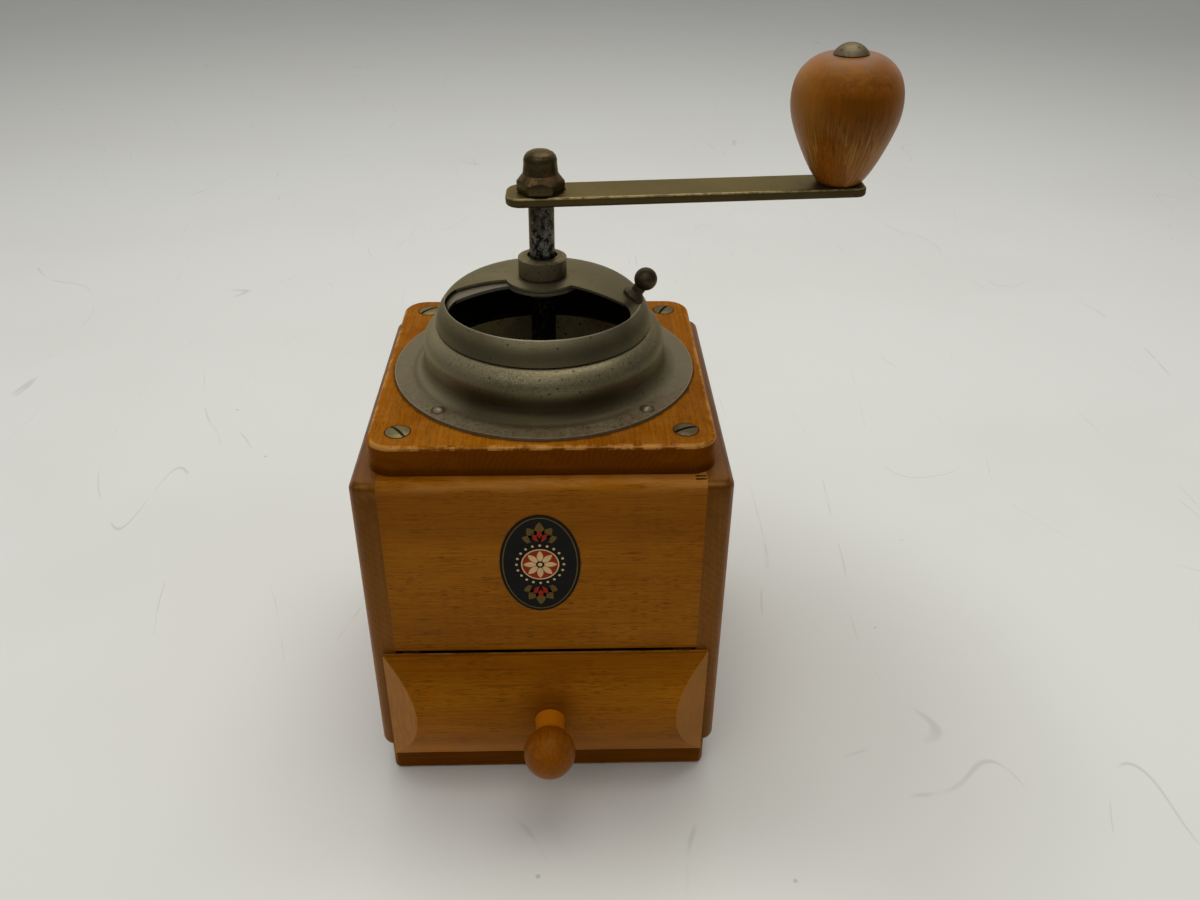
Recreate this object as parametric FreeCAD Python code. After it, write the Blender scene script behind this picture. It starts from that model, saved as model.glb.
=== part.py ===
import FreeCAD, Part
import math
import os

V = FreeCAD.Vector
UP = V(0, 0, 1)

# Poppy seed mill, in millimetres and degrees. X runs across the front, Y runs from the drawer
# to the back, Z is up. The origin is the middle of the base plate's underside.

# ---------------------------------------------------------------- driving dimensions: case
body_width = 115.0
body_depth = 115.0
body_top = 120.0                # top of the boards above the table
body_corner_radius = 4.0        # upright outer corners
body_top_radius = 3.0           # upper edges of the boards
body_foot_radius = 3.8          # lower outer edges of the boards
base_thickness = 10.0
base_setback = 3.1              # of the base plate inside the side boards' outer faces
base_corner_radius = 2.5
base_edge_radius = 1.2
side_thickness = 8.4
panel_thickness = 8.0           # front and back panels
tongue_thickness = 3.0
tongue_depth = 3.5
tongue_stop = 6.0               # how far the tongues stay below the top of the boards
drawer_opening_height = 45.3
corner_block_size = 12.0
corner_block_height = 30.0
lid_setback = 5.0               # of the lid inside the case, all round
lid_thickness = 10.0
lid_corner_radius = 8.0
lid_edge_radius = 1.6

# Wood screws
lid_screw_inset = 9.2           # from the lid's edges
lid_screw_head_radius = 3.65
lid_screw_shank_radius = 1.75
lid_screw_length = 26.0
lid_screw_crown = 0.6           # raised, slightly domed head
lid_screw_slot_width = 1.0
lid_screw_slot_depth = 0.9
base_screw_head_radius = 2.4
base_screw_shank_radius = 1.3
base_screw_length = 24.0
base_screw_inset = 2.9          # from the base plate's long edges
base_screw_spread = 76.0        # between the two rows, along Y
base_screw_recess = 0.3

# Front emblem: a thin upright oval
label_width = 25.0
label_height = 37.0
label_thickness = 0.3
label_offset = -1.2             # across the front
label_centre_height = 90.6

# ---------------------------------------------------------------- driving dimensions: hopper
dome_sheet = 1.0
dome_flange_setback = 3.0       # of the flange inside the lid's edges
dome_flange_width = 10.1
dome_foot_fillet = 4.4          # outside, between the wall and the flange
dome_shoulder_radius = 6.6
dome_shoulder_height = 10.0     # of the shoulder arc's centre, above the lid
dome_pin_inset = 4.0            # of the pins' circle from the flange's edge
dome_pin_head_radius = 1.75
dome_pin_head_height = 0.9
dome_pin_radius = 1.2
dome_pin_length = 9.0
cover_sheet = 0.8
cover_gap = 0.3                 # between the turning cover and the fixed dome
cover_setback = 4.3             # of the cover's greatest radius inside the dome's wall
cover_corner_radius = 12.5
cover_corner_height = 15.8      # of the corner arc's centre, above the lid
cover_crown_radius = 70.0
cover_hub_radius = 9.0          # flat seat under the collar
opening_setback = 3.4           # of the opening's rim inside the cover's greatest radius
opening_chord = 5.7             # the opening's straight edge lies this far in front of the axis
opening_tongue_radius = 12.0
opening_corner_radius = 3.5
cover_rest_angle = -12.5        # how far the cover is turned from full alignment

# Small turned knob of the cover
cover_knob_bearing = 5.1        # angle on the cover, from its own +X
cover_knob_seat_angle = 32.1    # angle of the surface normal from the vertical
cover_knob_ball_radius = 3.65
cover_knob_reach = 7.0          # from the sheet to the ball's centre
cover_knob_foot_radius = 3.6
cover_knob_foot_height = 0.6
cover_knob_neck_radius = 2.05
cover_knob_rivet_radius = 1.2

# ---------------------------------------------------------------- driving dimensions: grinder
shaft_diameter = 8.0
shaft_running_clearance = 0.06  # radial
shaft_square = 6.2
shaft_thread_radius = 3.0
shaft_foot_drop = 2.8           # of the shaft's lower end below the cone
bush_outer_radius = 5.5
bush_thread_radius = 5.0
bush_flange_radius = 8.5
bush_flange_thickness = 2.0
bush_length_below = 4.0         # below the dome's hub
collar_radius = 7.7
collar_height = 6.3
collar_chamfer_width = 1.4
collar_chamfer_height = 0.7
collar_web = 1.4                # over the end of the bush's thread
collar_mouth_gap = 0.8          # round the shaft
funnel_sheet = 1.2
funnel_wall_height = 10.0
funnel_cone_height = 22.0
funnel_flange_setback = 2.0     # of the funnel's flange inside the dome's flange
funnel_collar_height = 8.0
lid_hole_clearance = 0.4
ring_outer_radius = 27.0
ring_height = 24.0
ring_mouth_chamfer = 5.0
ring_throat_radius = 19.2       # where the fine grinding zone begins
ring_exit_radius = 20.8
ring_flat_depth = 2.0           # flats that the bridge's legs lie on
ring_flat_height = 14.0
grinding_zone_height = 10.0
grinding_gap = 0.6              # radial, with the grinder set coarse
ring_tooth_count = 36
cone_tooth_count = 32
tooth_width = 1.3
tooth_skew = 14.0
cone_breaker_count = 6
cone_breaker_width = 4.2
cone_breaker_skew = 34.0
cone_nose_radius = 7.0
cone_nose_rise = 2.0            # of the cone's nose above the ring
cone_pin_radius = 1.5
cone_pin_length = 28.4
bridge_width = 16.0
bridge_bar_thickness = 4.0
bridge_leg_thickness = 3.0
bridge_drop = 14.0              # of the bridge's underside below the ring
bridge_boss_radius = 8.0
bridge_boss_height = 4.0
bridge_screw_radius = 2.0
bridge_screw_head_radius = 3.6
bridge_screw_head_height = 2.2
bridge_screw_bite = 3.4
adjuster_thread_radius = 4.0
adjuster_running_clearance = 0.06
adjuster_head_radius = 9.5
adjuster_head_thickness = 3.0
adjuster_head_drop = 1.7        # from the bridge to the head, with the grinder set coarse
adjuster_notch_count = 24
thrust_ball_radius = 2.2
thrust_ball_clearance = 0.15
detent_thickness = 0.6
detent_width = 6.0
detent_length = 14.0
detent_lip = 3.2
detent_gap = 0.6                # between the lip and the knurled head
detent_screw_radius = 1.5
detent_screw_head_radius = 2.7

# ---------------------------------------------------------------- driving dimensions: crank
arm_width = 15.5
arm_thickness = 3.0
shaft_showing = 17.65           # between the collar and the arm
arm_rise_angle = 1.8
arm_tip_reach = 7.3             # from the knob's axis to the far end
arm_tail = 10.8                 # from the axis to the near end
arm_tip_radius = 3.0
arm_tail_radius = 5.0
arm_edge_radius = 0.9
arm_seat_depth = 0.3            # spot faces that level the seats of nut and shaft
nut_across_flats = 13.0
nut_hex_height = 5.4
nut_chamfer = 1.3
nut_dome_radius = 5.2
nut_height = 13.1
nut_dome_rise = 3.0             # of the rounded end above the dome's upright side
nut_thread_depth = 9.0
crank_radius = 91.3             # along the arm, from the shaft to the knob
spindle_radius = 3.0
spindle_running_clearance = 0.08
spindle_head_radius = 5.2
spindle_head_height = 3.0
spindle_rivet_radius = 4.4
spindle_rivet_height = 1.0
knob_height = 36.8
knob_end_gap = 0.3              # above the arm and below the spindle's head
knob_foot_radius = 6.8
knob_belly_radius = 16.4
knob_belly_height = 24.0
knob_top_radius = 6.4
# The grip's curve: shares of the height below and above its belly, shares of the swell there
knob_lower_curve = [(0.0, 0.0), (0.15, 0.26), (0.375, 0.55), (0.6, 0.79), (0.8167, 0.955)]
knob_upper_curve = [(0.35, 0.945), (0.62, 0.80), (0.86, 0.51), (0.955, 0.30)]

# ---------------------------------------------------------------- driving dimensions: drawer
drawer_front_reveal = 4.5       # of the case beside the drawer front
drawer_front_height = 44.5
drawer_front_edge = 1.6         # thickness at the rim of the cushioned face
drawer_front_bulge = 6.4
drawer_front_bevel = 9.7        # width of the end bevels
drawer_front_gap = 0.5          # between the closed front and the case
drawer_side_clearance = 0.5
drawer_floor_clearance = 0.3
drawer_back_clearance = 1.2
drawer_side_height = 38.5
drawer_board = 6.0
drawer_back_height = 32.0
drawer_bottom_thickness = 3.0
drawer_bottom_height = 3.0      # of the bottom board above the sides' lower edges
drawer_groove_depth = 2.0
drawer_knob_tenon_radius = 3.5
drawer_knob_root_radius = 5.0
drawer_knob_neck_radius = 4.6
drawer_knob_ball_radius = 8.3
drawer_knob_reach = 13.9        # from the face to the ball's centre
drawer_knob_offset = 1.0        # across the front, from its middle
drawer_knob_drop = 0.75         # below the front's middle

# ---------------------------------------------------------------- places worked out from them
half_width = body_width / 2
half_depth = body_depth / 2
inner_x = half_width - side_thickness
inner_y = half_depth - panel_thickness
base_width = body_width - 2 * base_setback
lid_width = body_width - 2 * lid_setback
lid_depth = body_depth - 2 * lid_setback
drawer_front_width = body_width - 2 * drawer_front_reveal
lid_top = body_top + lid_thickness
panel_bottom = base_thickness + drawer_opening_height
lid_screw_x = lid_width / 2 - lid_screw_inset
lid_screw_y = lid_depth / 2 - lid_screw_inset
dome_flange_radius = min(lid_width, lid_depth) / 2 - dome_flange_setback
dome_wall_radius = dome_flange_radius - dome_flange_width
pin_circle = dome_flange_radius - dome_pin_inset
shaft_radius = shaft_diameter / 2
bore_radius = shaft_radius + shaft_running_clearance

cover_radius = dome_wall_radius - cover_setback
cover_corner_arc_centre = cover_radius - cover_corner_radius
opening_radius = cover_radius - opening_setback
corner_z = lid_top + cover_corner_height
crown_z = corner_z - math.sqrt((cover_crown_radius - cover_corner_radius) ** 2
                               - cover_corner_arc_centre ** 2)
hub_top = crown_z + math.sqrt(cover_crown_radius ** 2 - cover_hub_radius ** 2)
dome_offset = cover_sheet + cover_gap
dome_hub_top = hub_top - dome_offset
dome_hub_bottom = dome_hub_top - dome_sheet
collar_bottom = hub_top + cover_gap
collar_top = collar_bottom + collar_height

funnel_mouth_radius = dome_wall_radius
funnel_wall_radius = funnel_mouth_radius + funnel_sheet
funnel_flange_radius = dome_flange_radius - funnel_flange_setback
lid_hole_radius = funnel_wall_radius + lid_hole_clearance
ring_top = lid_top - funnel_wall_height - funnel_cone_height
ring_bottom = ring_top - ring_height
grinding_top = ring_bottom + grinding_zone_height
shaft_foot_height = ring_bottom - shaft_foot_drop
ring_flat_x = ring_outer_radius - ring_flat_depth
bridge_bottom = ring_bottom - bridge_drop
bridge_bar_top = bridge_bottom + bridge_bar_thickness
bridge_leg_top = ring_bottom + ring_flat_height - 1.0
bridge_screw_z = ring_bottom + ring_flat_height / 2
adjuster_head_top = bridge_bottom - adjuster_head_drop
ball_z = shaft_foot_height - thrust_ball_radius * 0.45 - thrust_ball_clearance
adjuster_top = ball_z - thrust_ball_radius * 0.45 - thrust_ball_clearance
cone_pin_z = grinding_top + 5.0

arm_length = crank_radius + arm_tip_reach
arm_top_height = collar_top + shaft_showing + arm_thickness
nut_seat = arm_top_height - arm_seat_depth
arm_upright_thickness = arm_thickness / math.cos(math.radians(arm_rise_angle))
shaft_shoulder = arm_top_height - arm_upright_thickness + arm_seat_depth
knob_low = knob_end_gap
knob_high = knob_low + knob_height
spindle_head_low = knob_high + knob_end_gap

drawer_front_back_y = -half_depth - drawer_front_gap
drawer_front_edge_y = drawer_front_back_y - drawer_front_edge
drawer_face_y = drawer_front_edge_y - drawer_front_bulge
drawer_front_bottom = base_thickness
drawer_front_top = drawer_front_bottom + drawer_front_height
drawer_knob_z = drawer_front_bottom + drawer_front_height / 2 - drawer_knob_drop
drawer_outer_x = inner_x - drawer_side_clearance
drawer_inner_x = drawer_outer_x - drawer_board
drawer_end_y = inner_y - drawer_back_clearance
drawer_low = base_thickness + drawer_floor_clearance
drawer_floor = drawer_low + drawer_bottom_height


# ---------------------------------------------------------------- small tools
def box(x0, x1, y0, y1, z0, z1):
    return Part.makeBox(x1 - x0, y1 - y0, z1 - z0, V(x0, y0, z0))


def rod(radius, z0, z1, x=0.0, y=0.0):
    return Part.makeCylinder(radius, z1 - z0, V(x, y, z0), UP)


def rod_along_x(radius, x0, x1, y, z):
    return Part.makeCylinder(radius, x1 - x0, V(x0, y, z), V(1, 0, 0))


def turned(points):
    """Solid of revolution about Z from a closed outline of (radius, height) points."""
    corners = [V(r, 0, z) for r, z in points]
    outline = Part.makePolygon(corners + corners[:1])
    return Part.Face(outline).revolve(V(0, 0, 0), UP, 360)


def line_rz(start, end):
    return Part.LineSegment(V(start[0], 0, start[1]), V(end[0], 0, end[1])).toShape()


def point_on(centre, radius, angle):
    return (centre[0] + radius * math.cos(angle), centre[1] + radius * math.sin(angle))


def arc_rz(centre, radius, start_angle, end_angle):
    angles = (start_angle, (start_angle + end_angle) / 2, end_angle)
    a, b, c = (V(r, 0, z) for r, z in (point_on(centre, radius, angle) for angle in angles))
    return Part.Arc(a, b, c).toShape()


def angle_to(centre, point):
    return math.atan2(point[1] - centre[1], point[0] - centre[0])


def circles_meet(centre_a, radius_a, centre_b, radius_b):
    """The crossing of two circles that lies further from the Z axis."""
    dr = centre_b[0] - centre_a[0]
    dz = centre_b[1] - centre_a[1]
    distance = math.hypot(dr, dz)
    along = (distance ** 2 + radius_a ** 2 - radius_b ** 2) / (2 * distance)
    across = math.sqrt(radius_a ** 2 - along ** 2)
    middle = (centre_a[0] + dr * along / distance, centre_a[1] + dz * along / distance)
    ways = [(middle[0] + side * dz * across / distance, middle[1] - side * dr * across / distance)
            for side in (1, -1)]
    return max(ways)


def rounded(solid, radius, chosen):
    """Fillet the edges for which chosen(edge's bounding box) is true."""
    return solid.makeFillet(radius, [edge for edge in solid.Edges if chosen(edge.BoundBox)])


def upright(b):
    return b.ZLength > 1 and b.XLength < 1e-6 and b.YLength < 1e-6


def level_at(z):
    return lambda b: abs(b.ZMin - z) < 1e-4 and abs(b.ZMax - z) < 1e-4


def hexagon(across_flats, z0, z1):
    """Hexagonal prism about Z with two corners on the X axis."""
    corner = across_flats / math.sqrt(3)
    corners = [V(corner * math.cos(math.radians(60 * i)), corner * math.sin(math.radians(60 * i)), z0)
               for i in range(7)]
    return Part.Face(Part.makePolygon(corners)).extrude(V(0, 0, z1 - z0))


def spun(shape, angle, centre=V(0, 0, 0), axis=UP):
    turned_copy = shape.copy()
    turned_copy.rotate(centre, axis, angle)
    return turned_copy


def around(shape, count, start=0.0):
    return [spun(shape, start + 360.0 * i / count) for i in range(count)]


def sphere_through(rim_radius, height):
    """Radius of the sphere whose cap has this rim radius and height."""
    return (rim_radius ** 2 + height ** 2) / (2 * height)


def domed_head(rim_radius, height, z, x):
    radius = sphere_through(rim_radius, height)
    ball = Part.makeSphere(radius, V(x, 0, z + height - radius))
    return ball.common(rod(2 * rim_radius, z, z + height + 1, x))


def group(solids):
    return Part.makeCompound(solids)


def four_corners(x, y):
    return [(sx * x, sy * y) for sx in (-1, 1) for sy in (-1, 1)]


# ---------------------------------------------------------------- wooden case
def case_envelope():
    whole = box(-half_width, half_width, -half_depth, half_depth, base_thickness, body_top)
    whole = rounded(whole, body_corner_radius, upright)
    whole = rounded(whole, body_top_radius, level_at(body_top))
    return rounded(whole, body_foot_radius, level_at(base_thickness))


def tongue(side, y_sign, low):
    """Tongue of a panel, and by the same token the groove for it in a side board."""
    middle_y = y_sign * (half_depth - panel_thickness / 2)
    x0, x1 = sorted((side * inner_x, side * (inner_x + tongue_depth)))
    return box(x0, x1, middle_y - tongue_thickness / 2, middle_y + tongue_thickness / 2,
               low, body_top - tongue_stop)


def make_side_board(envelope, side):
    x0, x1 = sorted((side * inner_x, side * half_width))
    board = envelope.common(box(x0, x1, -half_depth, half_depth, base_thickness, body_top))
    board = board.cut([tongue(side, -1, panel_bottom), tongue(side, 1, base_thickness)])
    return board.cut(base_screw_cutters())


def make_panel(envelope, y_sign, low):
    y0, y1 = sorted((y_sign * inner_y, y_sign * half_depth))
    board = envelope.common(box(-inner_x, inner_x, y0, y1, low, body_top))
    return board.fuse([tongue(side, y_sign, low) for side in (-1, 1)]).removeSplitter()


def make_base_plate():
    half = base_width / 2
    plate = box(-half, half, -half_depth, half_depth, 0, base_thickness)
    plate = rounded(plate, base_corner_radius, upright)
    plate = rounded(plate, base_edge_radius, level_at(0))
    return plate.cut(base_screw_cutters())


def base_screw_places():
    return four_corners(base_width / 2 - base_screw_inset, base_screw_spread / 2)


def base_screw_at(x, y, low):
    """Countersunk wood screw, pointing up, whose head ends at the height low."""
    cone_height = base_screw_head_radius - base_screw_shank_radius
    tip = base_screw_recess + base_screw_length
    screw = turned([(0, low), (base_screw_head_radius, low), (base_screw_head_radius, base_screw_recess),
                    (base_screw_shank_radius, base_screw_recess + cone_height),
                    (base_screw_shank_radius, tip - 3 * base_screw_shank_radius), (0, tip)])
    screw.translate(V(x, y, 0))
    return screw


def base_screw_cutters():
    return [base_screw_at(x, y, -1.0) for x, y in base_screw_places()]


def make_base_screws():
    slot_half = lid_screw_slot_width / 2
    screws = []
    for x, y in base_screw_places():
        slot = box(x - slot_half, x + slot_half, y - 9, y + 9, 0, base_screw_recess + 0.7)
        screws.append(base_screw_at(x, y, base_screw_recess - 0.1).cut(slot))
    return group(screws)


def lid_screw_solid(crown):
    """Countersunk wood screw along Z with its seat at the lid's top."""
    cone = lid_screw_head_radius - lid_screw_shank_radius
    tip = lid_top - lid_screw_length
    points = [(0, lid_top + crown), (lid_screw_head_radius * 0.62, lid_top + crown * 0.72),
              (lid_screw_head_radius, lid_top + crown * 0.12), (lid_screw_head_radius, lid_top),
              (lid_screw_shank_radius, lid_top - cone),
              (lid_screw_shank_radius, tip + 3 * lid_screw_shank_radius), (0, tip)]
    return turned(points)


def lid_screw_cutters():
    cutters = []
    for x, y in four_corners(lid_screw_x, lid_screw_y):
        cutter = lid_screw_solid(lid_screw_crown)
        cutter.translate(V(x, y, 0))
        cutters.append(cutter)
    return cutters


def make_lid_screws():
    slot_angles = (-52.0, 44.0, 24.0, 62.0)
    half_slot = lid_screw_slot_width / 2
    reach = lid_screw_head_radius + 1
    screws = []
    for (x, y), angle in zip(four_corners(lid_screw_x, lid_screw_y), slot_angles):
        slot = box(-reach, reach, -half_slot, half_slot,
                   lid_top + lid_screw_crown - lid_screw_slot_depth, lid_top + 2)
        screw = lid_screw_solid(lid_screw_crown).cut(spun(slot, angle))
        screw.translate(V(x, y, 0))
        screws.append(screw)
    return group(screws)


def make_corner_blocks():
    cutters = lid_screw_cutters()
    blocks = []
    for sx, sy in four_corners(1, 1):
        x0, x1 = sorted((sx * (inner_x - corner_block_size), sx * inner_x))
        y0, y1 = sorted((sy * (inner_y - corner_block_size), sy * inner_y))
        blocks.append(box(x0, x1, y0, y1, body_top - corner_block_height, body_top).cut(cutters))
    return group(blocks)


def make_lid_plate():
    half_x = lid_width / 2
    half_y = lid_depth / 2
    plate = box(-half_x, half_x, -half_y, half_y, body_top, lid_top)
    plate = rounded(plate, lid_corner_radius, upright)
    plate = rounded(plate, lid_edge_radius, level_at(lid_top))
    rebate = rod(funnel_flange_radius, lid_top - funnel_sheet, lid_top + 1)
    hole = rod(lid_hole_radius, body_top - 1, lid_top + 1)
    return plate.cut([rebate, hole] + lid_screw_cutters() + dome_pin_shanks())


def make_front_label():
    centre = V(label_offset, -half_depth, label_centre_height)
    oval = Part.Ellipse(centre + V(0, 0, label_height / 2), centre + V(label_width / 2, 0, 0), centre)
    return Part.Face(Part.Wire(oval.toShape())).extrude(V(0, -label_thickness, 0))


# ---------------------------------------------------------------- hopper
def shell_arcs(offset, foot):
    """The half outline that cover and dome share, offset inwards, from its foot to the hub."""
    corner = (cover_corner_arc_centre, corner_z)
    crown = (0.0, crown_z)
    corner_radius = cover_corner_radius - offset
    crown_radius = cover_crown_radius - offset
    tangent = angle_to(crown, corner)
    hub_z = hub_top - offset
    hub_angle = math.asin((hub_z - crown_z) / crown_radius)
    edges = [arc_rz(corner, corner_radius, angle_to(corner, foot), tangent),
             arc_rz(crown, crown_radius, tangent, hub_angle)]
    return edges, point_on(crown, crown_radius, hub_angle)


def on_corner_arc(offset, z):
    radius = cover_corner_radius - offset
    return (cover_corner_arc_centre + math.sqrt(radius ** 2 - (z - corner_z) ** 2), z)


def neck_foot(extra):
    """Where the dome's neck meets its shoulder, on the face that lies extra further in."""
    shoulder = (dome_wall_radius - dome_shoulder_radius, lid_top + dome_shoulder_height)
    corner = (cover_corner_arc_centre, corner_z)
    return circles_meet(corner, cover_corner_radius - dome_offset - extra,
                        shoulder, dome_shoulder_radius - extra)


def opening_cutter():
    low = corner_z
    high = 2 * hub_top - corner_z
    half_moon = rod(opening_radius, low, high).cut(
        box(-half_width, half_width, -opening_chord, half_depth, low, high))
    half_moon = rounded(half_moon, opening_corner_radius, upright)
    return half_moon.cut(rod(opening_tongue_radius, low, high))


def make_cover_cap():
    skirt_z = neck_foot(0.0)[1] + cover_gap
    outer_foot = on_corner_arc(0.0, skirt_z)
    inner_foot = on_corner_arc(cover_sheet, skirt_z)
    outer, outer_hub = shell_arcs(0.0, outer_foot)
    inner, inner_hub = shell_arcs(cover_sheet, inner_foot)
    hole = bush_outer_radius + cover_gap
    top = (hole, hub_top)
    under = (hole, hub_top - cover_sheet)
    outline = outer + [line_rz(outer_hub, top), line_rz(top, under), line_rz(under, inner_hub)]
    outline += inner[::-1] + [line_rz(inner_foot, outer_foot)]
    shell = Part.Face(Part.Wire(Part.__sortEdges__(outline))).revolve(V(0, 0, 0), UP, 360)
    shell = shell.cut([opening_cutter(), cover_knob_rivet()])
    return spun(shell, cover_rest_angle)


def cover_knob_frame():
    """Seat of the small knob on the cover's outer face, and the outward direction there."""
    angle = math.radians(90 - cover_knob_seat_angle)
    radius, height = point_on((cover_corner_arc_centre, corner_z), cover_corner_radius, angle)
    bearing = math.radians(cover_knob_bearing)
    seat = V(radius * math.cos(bearing), radius * math.sin(bearing), height)
    outward = V(math.cos(angle) * math.cos(bearing), math.cos(angle) * math.sin(bearing),
                math.sin(angle))
    return seat, outward


def cover_knob_rivet():
    seat, outward = cover_knob_frame()
    start = seat - outward * cover_sheet
    return Part.makeCylinder(cover_knob_rivet_radius, 2 * cover_sheet, start, outward)


def make_cover_knob(cover):
    """Ball on a waisted stem whose foot follows the curved sheet."""
    ball_z_local = cover_knob_reach
    waist = ball_z_local - cover_knob_ball_radius
    tail = -cover_sheet * 0.9
    sink = -cover_knob_foot_radius ** 2 / (2 * cover_corner_radius) - 0.05
    stem = turned([(0, tail), (cover_knob_rivet_radius, tail), (cover_knob_rivet_radius, sink),
                   (cover_knob_foot_radius, sink), (cover_knob_foot_radius, cover_knob_foot_height),
                   (cover_knob_neck_radius, waist * 0.62), (cover_knob_neck_radius, ball_z_local),
                   (0, ball_z_local)])
    ball = Part.makeSphere(cover_knob_ball_radius, V(0, 0, ball_z_local))
    seat, outward = cover_knob_frame()
    knob = stem.fuse(ball).removeSplitter()
    knob.Placement = FreeCAD.Placement(seat, FreeCAD.Rotation(UP, outward))
    return spun(knob, cover_rest_angle).cut(cover)


def make_hopper_dome():
    shoulder = (dome_wall_radius - dome_shoulder_radius, lid_top + dome_shoulder_height)
    foot_centre = (dome_wall_radius + dome_foot_fillet, lid_top + dome_sheet + dome_foot_fillet)
    faces = []
    for extra in (0.0, dome_sheet):
        neck = neck_foot(extra)
        arcs, hub = shell_arcs(dome_offset + extra, neck)
        shoulder_radius = dome_shoulder_radius - extra
        fillet = dome_foot_fillet + extra
        wall_top = (shoulder[0] + shoulder_radius, shoulder[1])
        wall_foot = (foot_centre[0] - fillet, foot_centre[1])
        flange_inner = (foot_centre[0], foot_centre[1] - fillet)
        edges = arcs + [arc_rz(shoulder, shoulder_radius, angle_to(shoulder, neck), 0.0),
                        line_rz(wall_top, wall_foot),
                        arc_rz(foot_centre, fillet, math.pi, 1.5 * math.pi)]
        faces.append((edges, hub, flange_inner))
    (outer, outer_hub, outer_flange), (inner, inner_hub, inner_flange) = faces
    top = (bush_outer_radius, dome_hub_top)
    under = (bush_outer_radius, dome_hub_bottom)
    rim_top = (dome_flange_radius, lid_top + dome_sheet)
    rim_low = (dome_flange_radius, lid_top)
    outline = outer + inner + [line_rz(outer_hub, top), line_rz(top, under), line_rz(under, inner_hub),
                               line_rz(outer_flange, rim_top), line_rz(rim_top, rim_low),
                               line_rz(rim_low, inner_flange)]
    shell = Part.Face(Part.Wire(Part.__sortEdges__(outline))).revolve(V(0, 0, 0), UP, 360)
    return shell.cut([opening_cutter()] + dome_pin_shanks())


def dome_pin_shanks():
    shank = rod(dome_pin_radius, lid_top - dome_pin_length, lid_top + dome_sheet, pin_circle)
    return around(shank, 4, 45)


def make_dome_pins():
    seat = lid_top + dome_sheet
    head = domed_head(dome_pin_head_radius, dome_pin_head_height, seat, pin_circle)
    shank = rod(dome_pin_radius, lid_top - dome_pin_length, seat, pin_circle)
    return group(around(head.fuse(shank), 4, 45))


def make_hopper_funnel():
    flange_low = lid_top - funnel_sheet
    wall_low = lid_top - funnel_wall_height
    collar_low = ring_top - funnel_collar_height
    outer = ring_outer_radius + funnel_sheet
    points = [(funnel_mouth_radius, lid_top), (funnel_flange_radius, lid_top),
              (funnel_flange_radius, flange_low), (funnel_wall_radius, flange_low),
              (funnel_wall_radius, wall_low), (outer, ring_top), (outer, collar_low),
              (ring_outer_radius, collar_low), (ring_outer_radius, ring_top),
              (funnel_mouth_radius, wall_low)]
    return turned(points).cut(dome_pin_shanks())


# ---------------------------------------------------------------- grinder
def slanted_cutter(radius_low, radius_high, z0, z1, width, skew):
    """Square bar along a cone's side, turned on edge, that cuts one V-shaped groove."""
    length = math.hypot(z1 - z0, radius_high - radius_low)
    bar = box(-width / 2, width / 2, -width / 2, width / 2, -0.1 * length, 1.1 * length)
    bar.rotate(V(0, 0, 0), UP, 45)
    bar.rotate(V(0, 0, length / 2), V(1, 0, 0), skew)
    lean = math.degrees(math.atan2(radius_high - radius_low, z1 - z0))
    bar.rotate(V(0, 0, 0), V(0, 1, 0), lean)
    bar.translate(V(radius_low, 0, z0))
    return bar


def make_burr_ring():
    mouth = ring_outer_radius - 1.0
    points = [(ring_outer_radius, ring_bottom), (ring_outer_radius, ring_top), (mouth, ring_top),
              (mouth - ring_mouth_chamfer, ring_top - ring_mouth_chamfer),
              (ring_throat_radius, grinding_top), (ring_exit_radius, ring_bottom)]
    ring = turned(points)
    teeth = slanted_cutter(ring_exit_radius, ring_throat_radius, ring_bottom, grinding_top,
                           tooth_width, tooth_skew)
    flat_top = ring_bottom + ring_flat_height
    reach = ring_outer_radius + 1
    flats = [box(*sorted((s * ring_flat_x, s * reach)), -reach, reach, ring_bottom, flat_top)
             for s in (-1, 1)]
    return ring.cut(around(teeth, ring_tooth_count) + flats + bridge_screw_shanks())


def make_burr_cone():
    top = ring_top + cone_nose_rise
    waist = ring_throat_radius - grinding_gap
    skirt = ring_exit_radius - grinding_gap
    shoulder_z = ring_top - 1.0
    points = [(shaft_radius, ring_bottom), (skirt, ring_bottom), (waist, grinding_top),
              (cone_nose_radius + 1.5, shoulder_z), (cone_nose_radius, top), (shaft_radius, top)]
    cone = turned(points)
    teeth = slanted_cutter(skirt, waist, ring_bottom, grinding_top, tooth_width, -tooth_skew)
    breaker = slanted_cutter(waist, cone_nose_radius + 1.5, grinding_top, shoulder_z,
                             cone_breaker_width, -cone_breaker_skew)
    cone = cone.cut(around(teeth, cone_tooth_count))
    cone = cone.cut(around(breaker, cone_breaker_count, 180.0 / cone_breaker_count))
    return cone.cut(make_cone_pin())


def make_cone_pin():
    half = cone_pin_length / 2
    return rod_along_x(cone_pin_radius, -half, half, 0, cone_pin_z)


def make_main_shaft():
    thread_top = nut_seat + nut_thread_depth
    shaft = rod(shaft_radius, shaft_foot_height, shaft_shoulder)
    half = shaft_square / 2
    square = box(-half, half, -half, half, shaft_shoulder, nut_seat)
    square = square.common(rod(shaft_radius, shaft_shoulder, nut_seat))
    thread = rod(shaft_thread_radius, nut_seat, thread_top)
    dimple = Part.makeSphere(thrust_ball_radius + thrust_ball_clearance, V(0, 0, ball_z))
    return shaft.fuse([square, thread]).removeSplitter().cut([dimple, make_cone_pin()])


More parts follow.
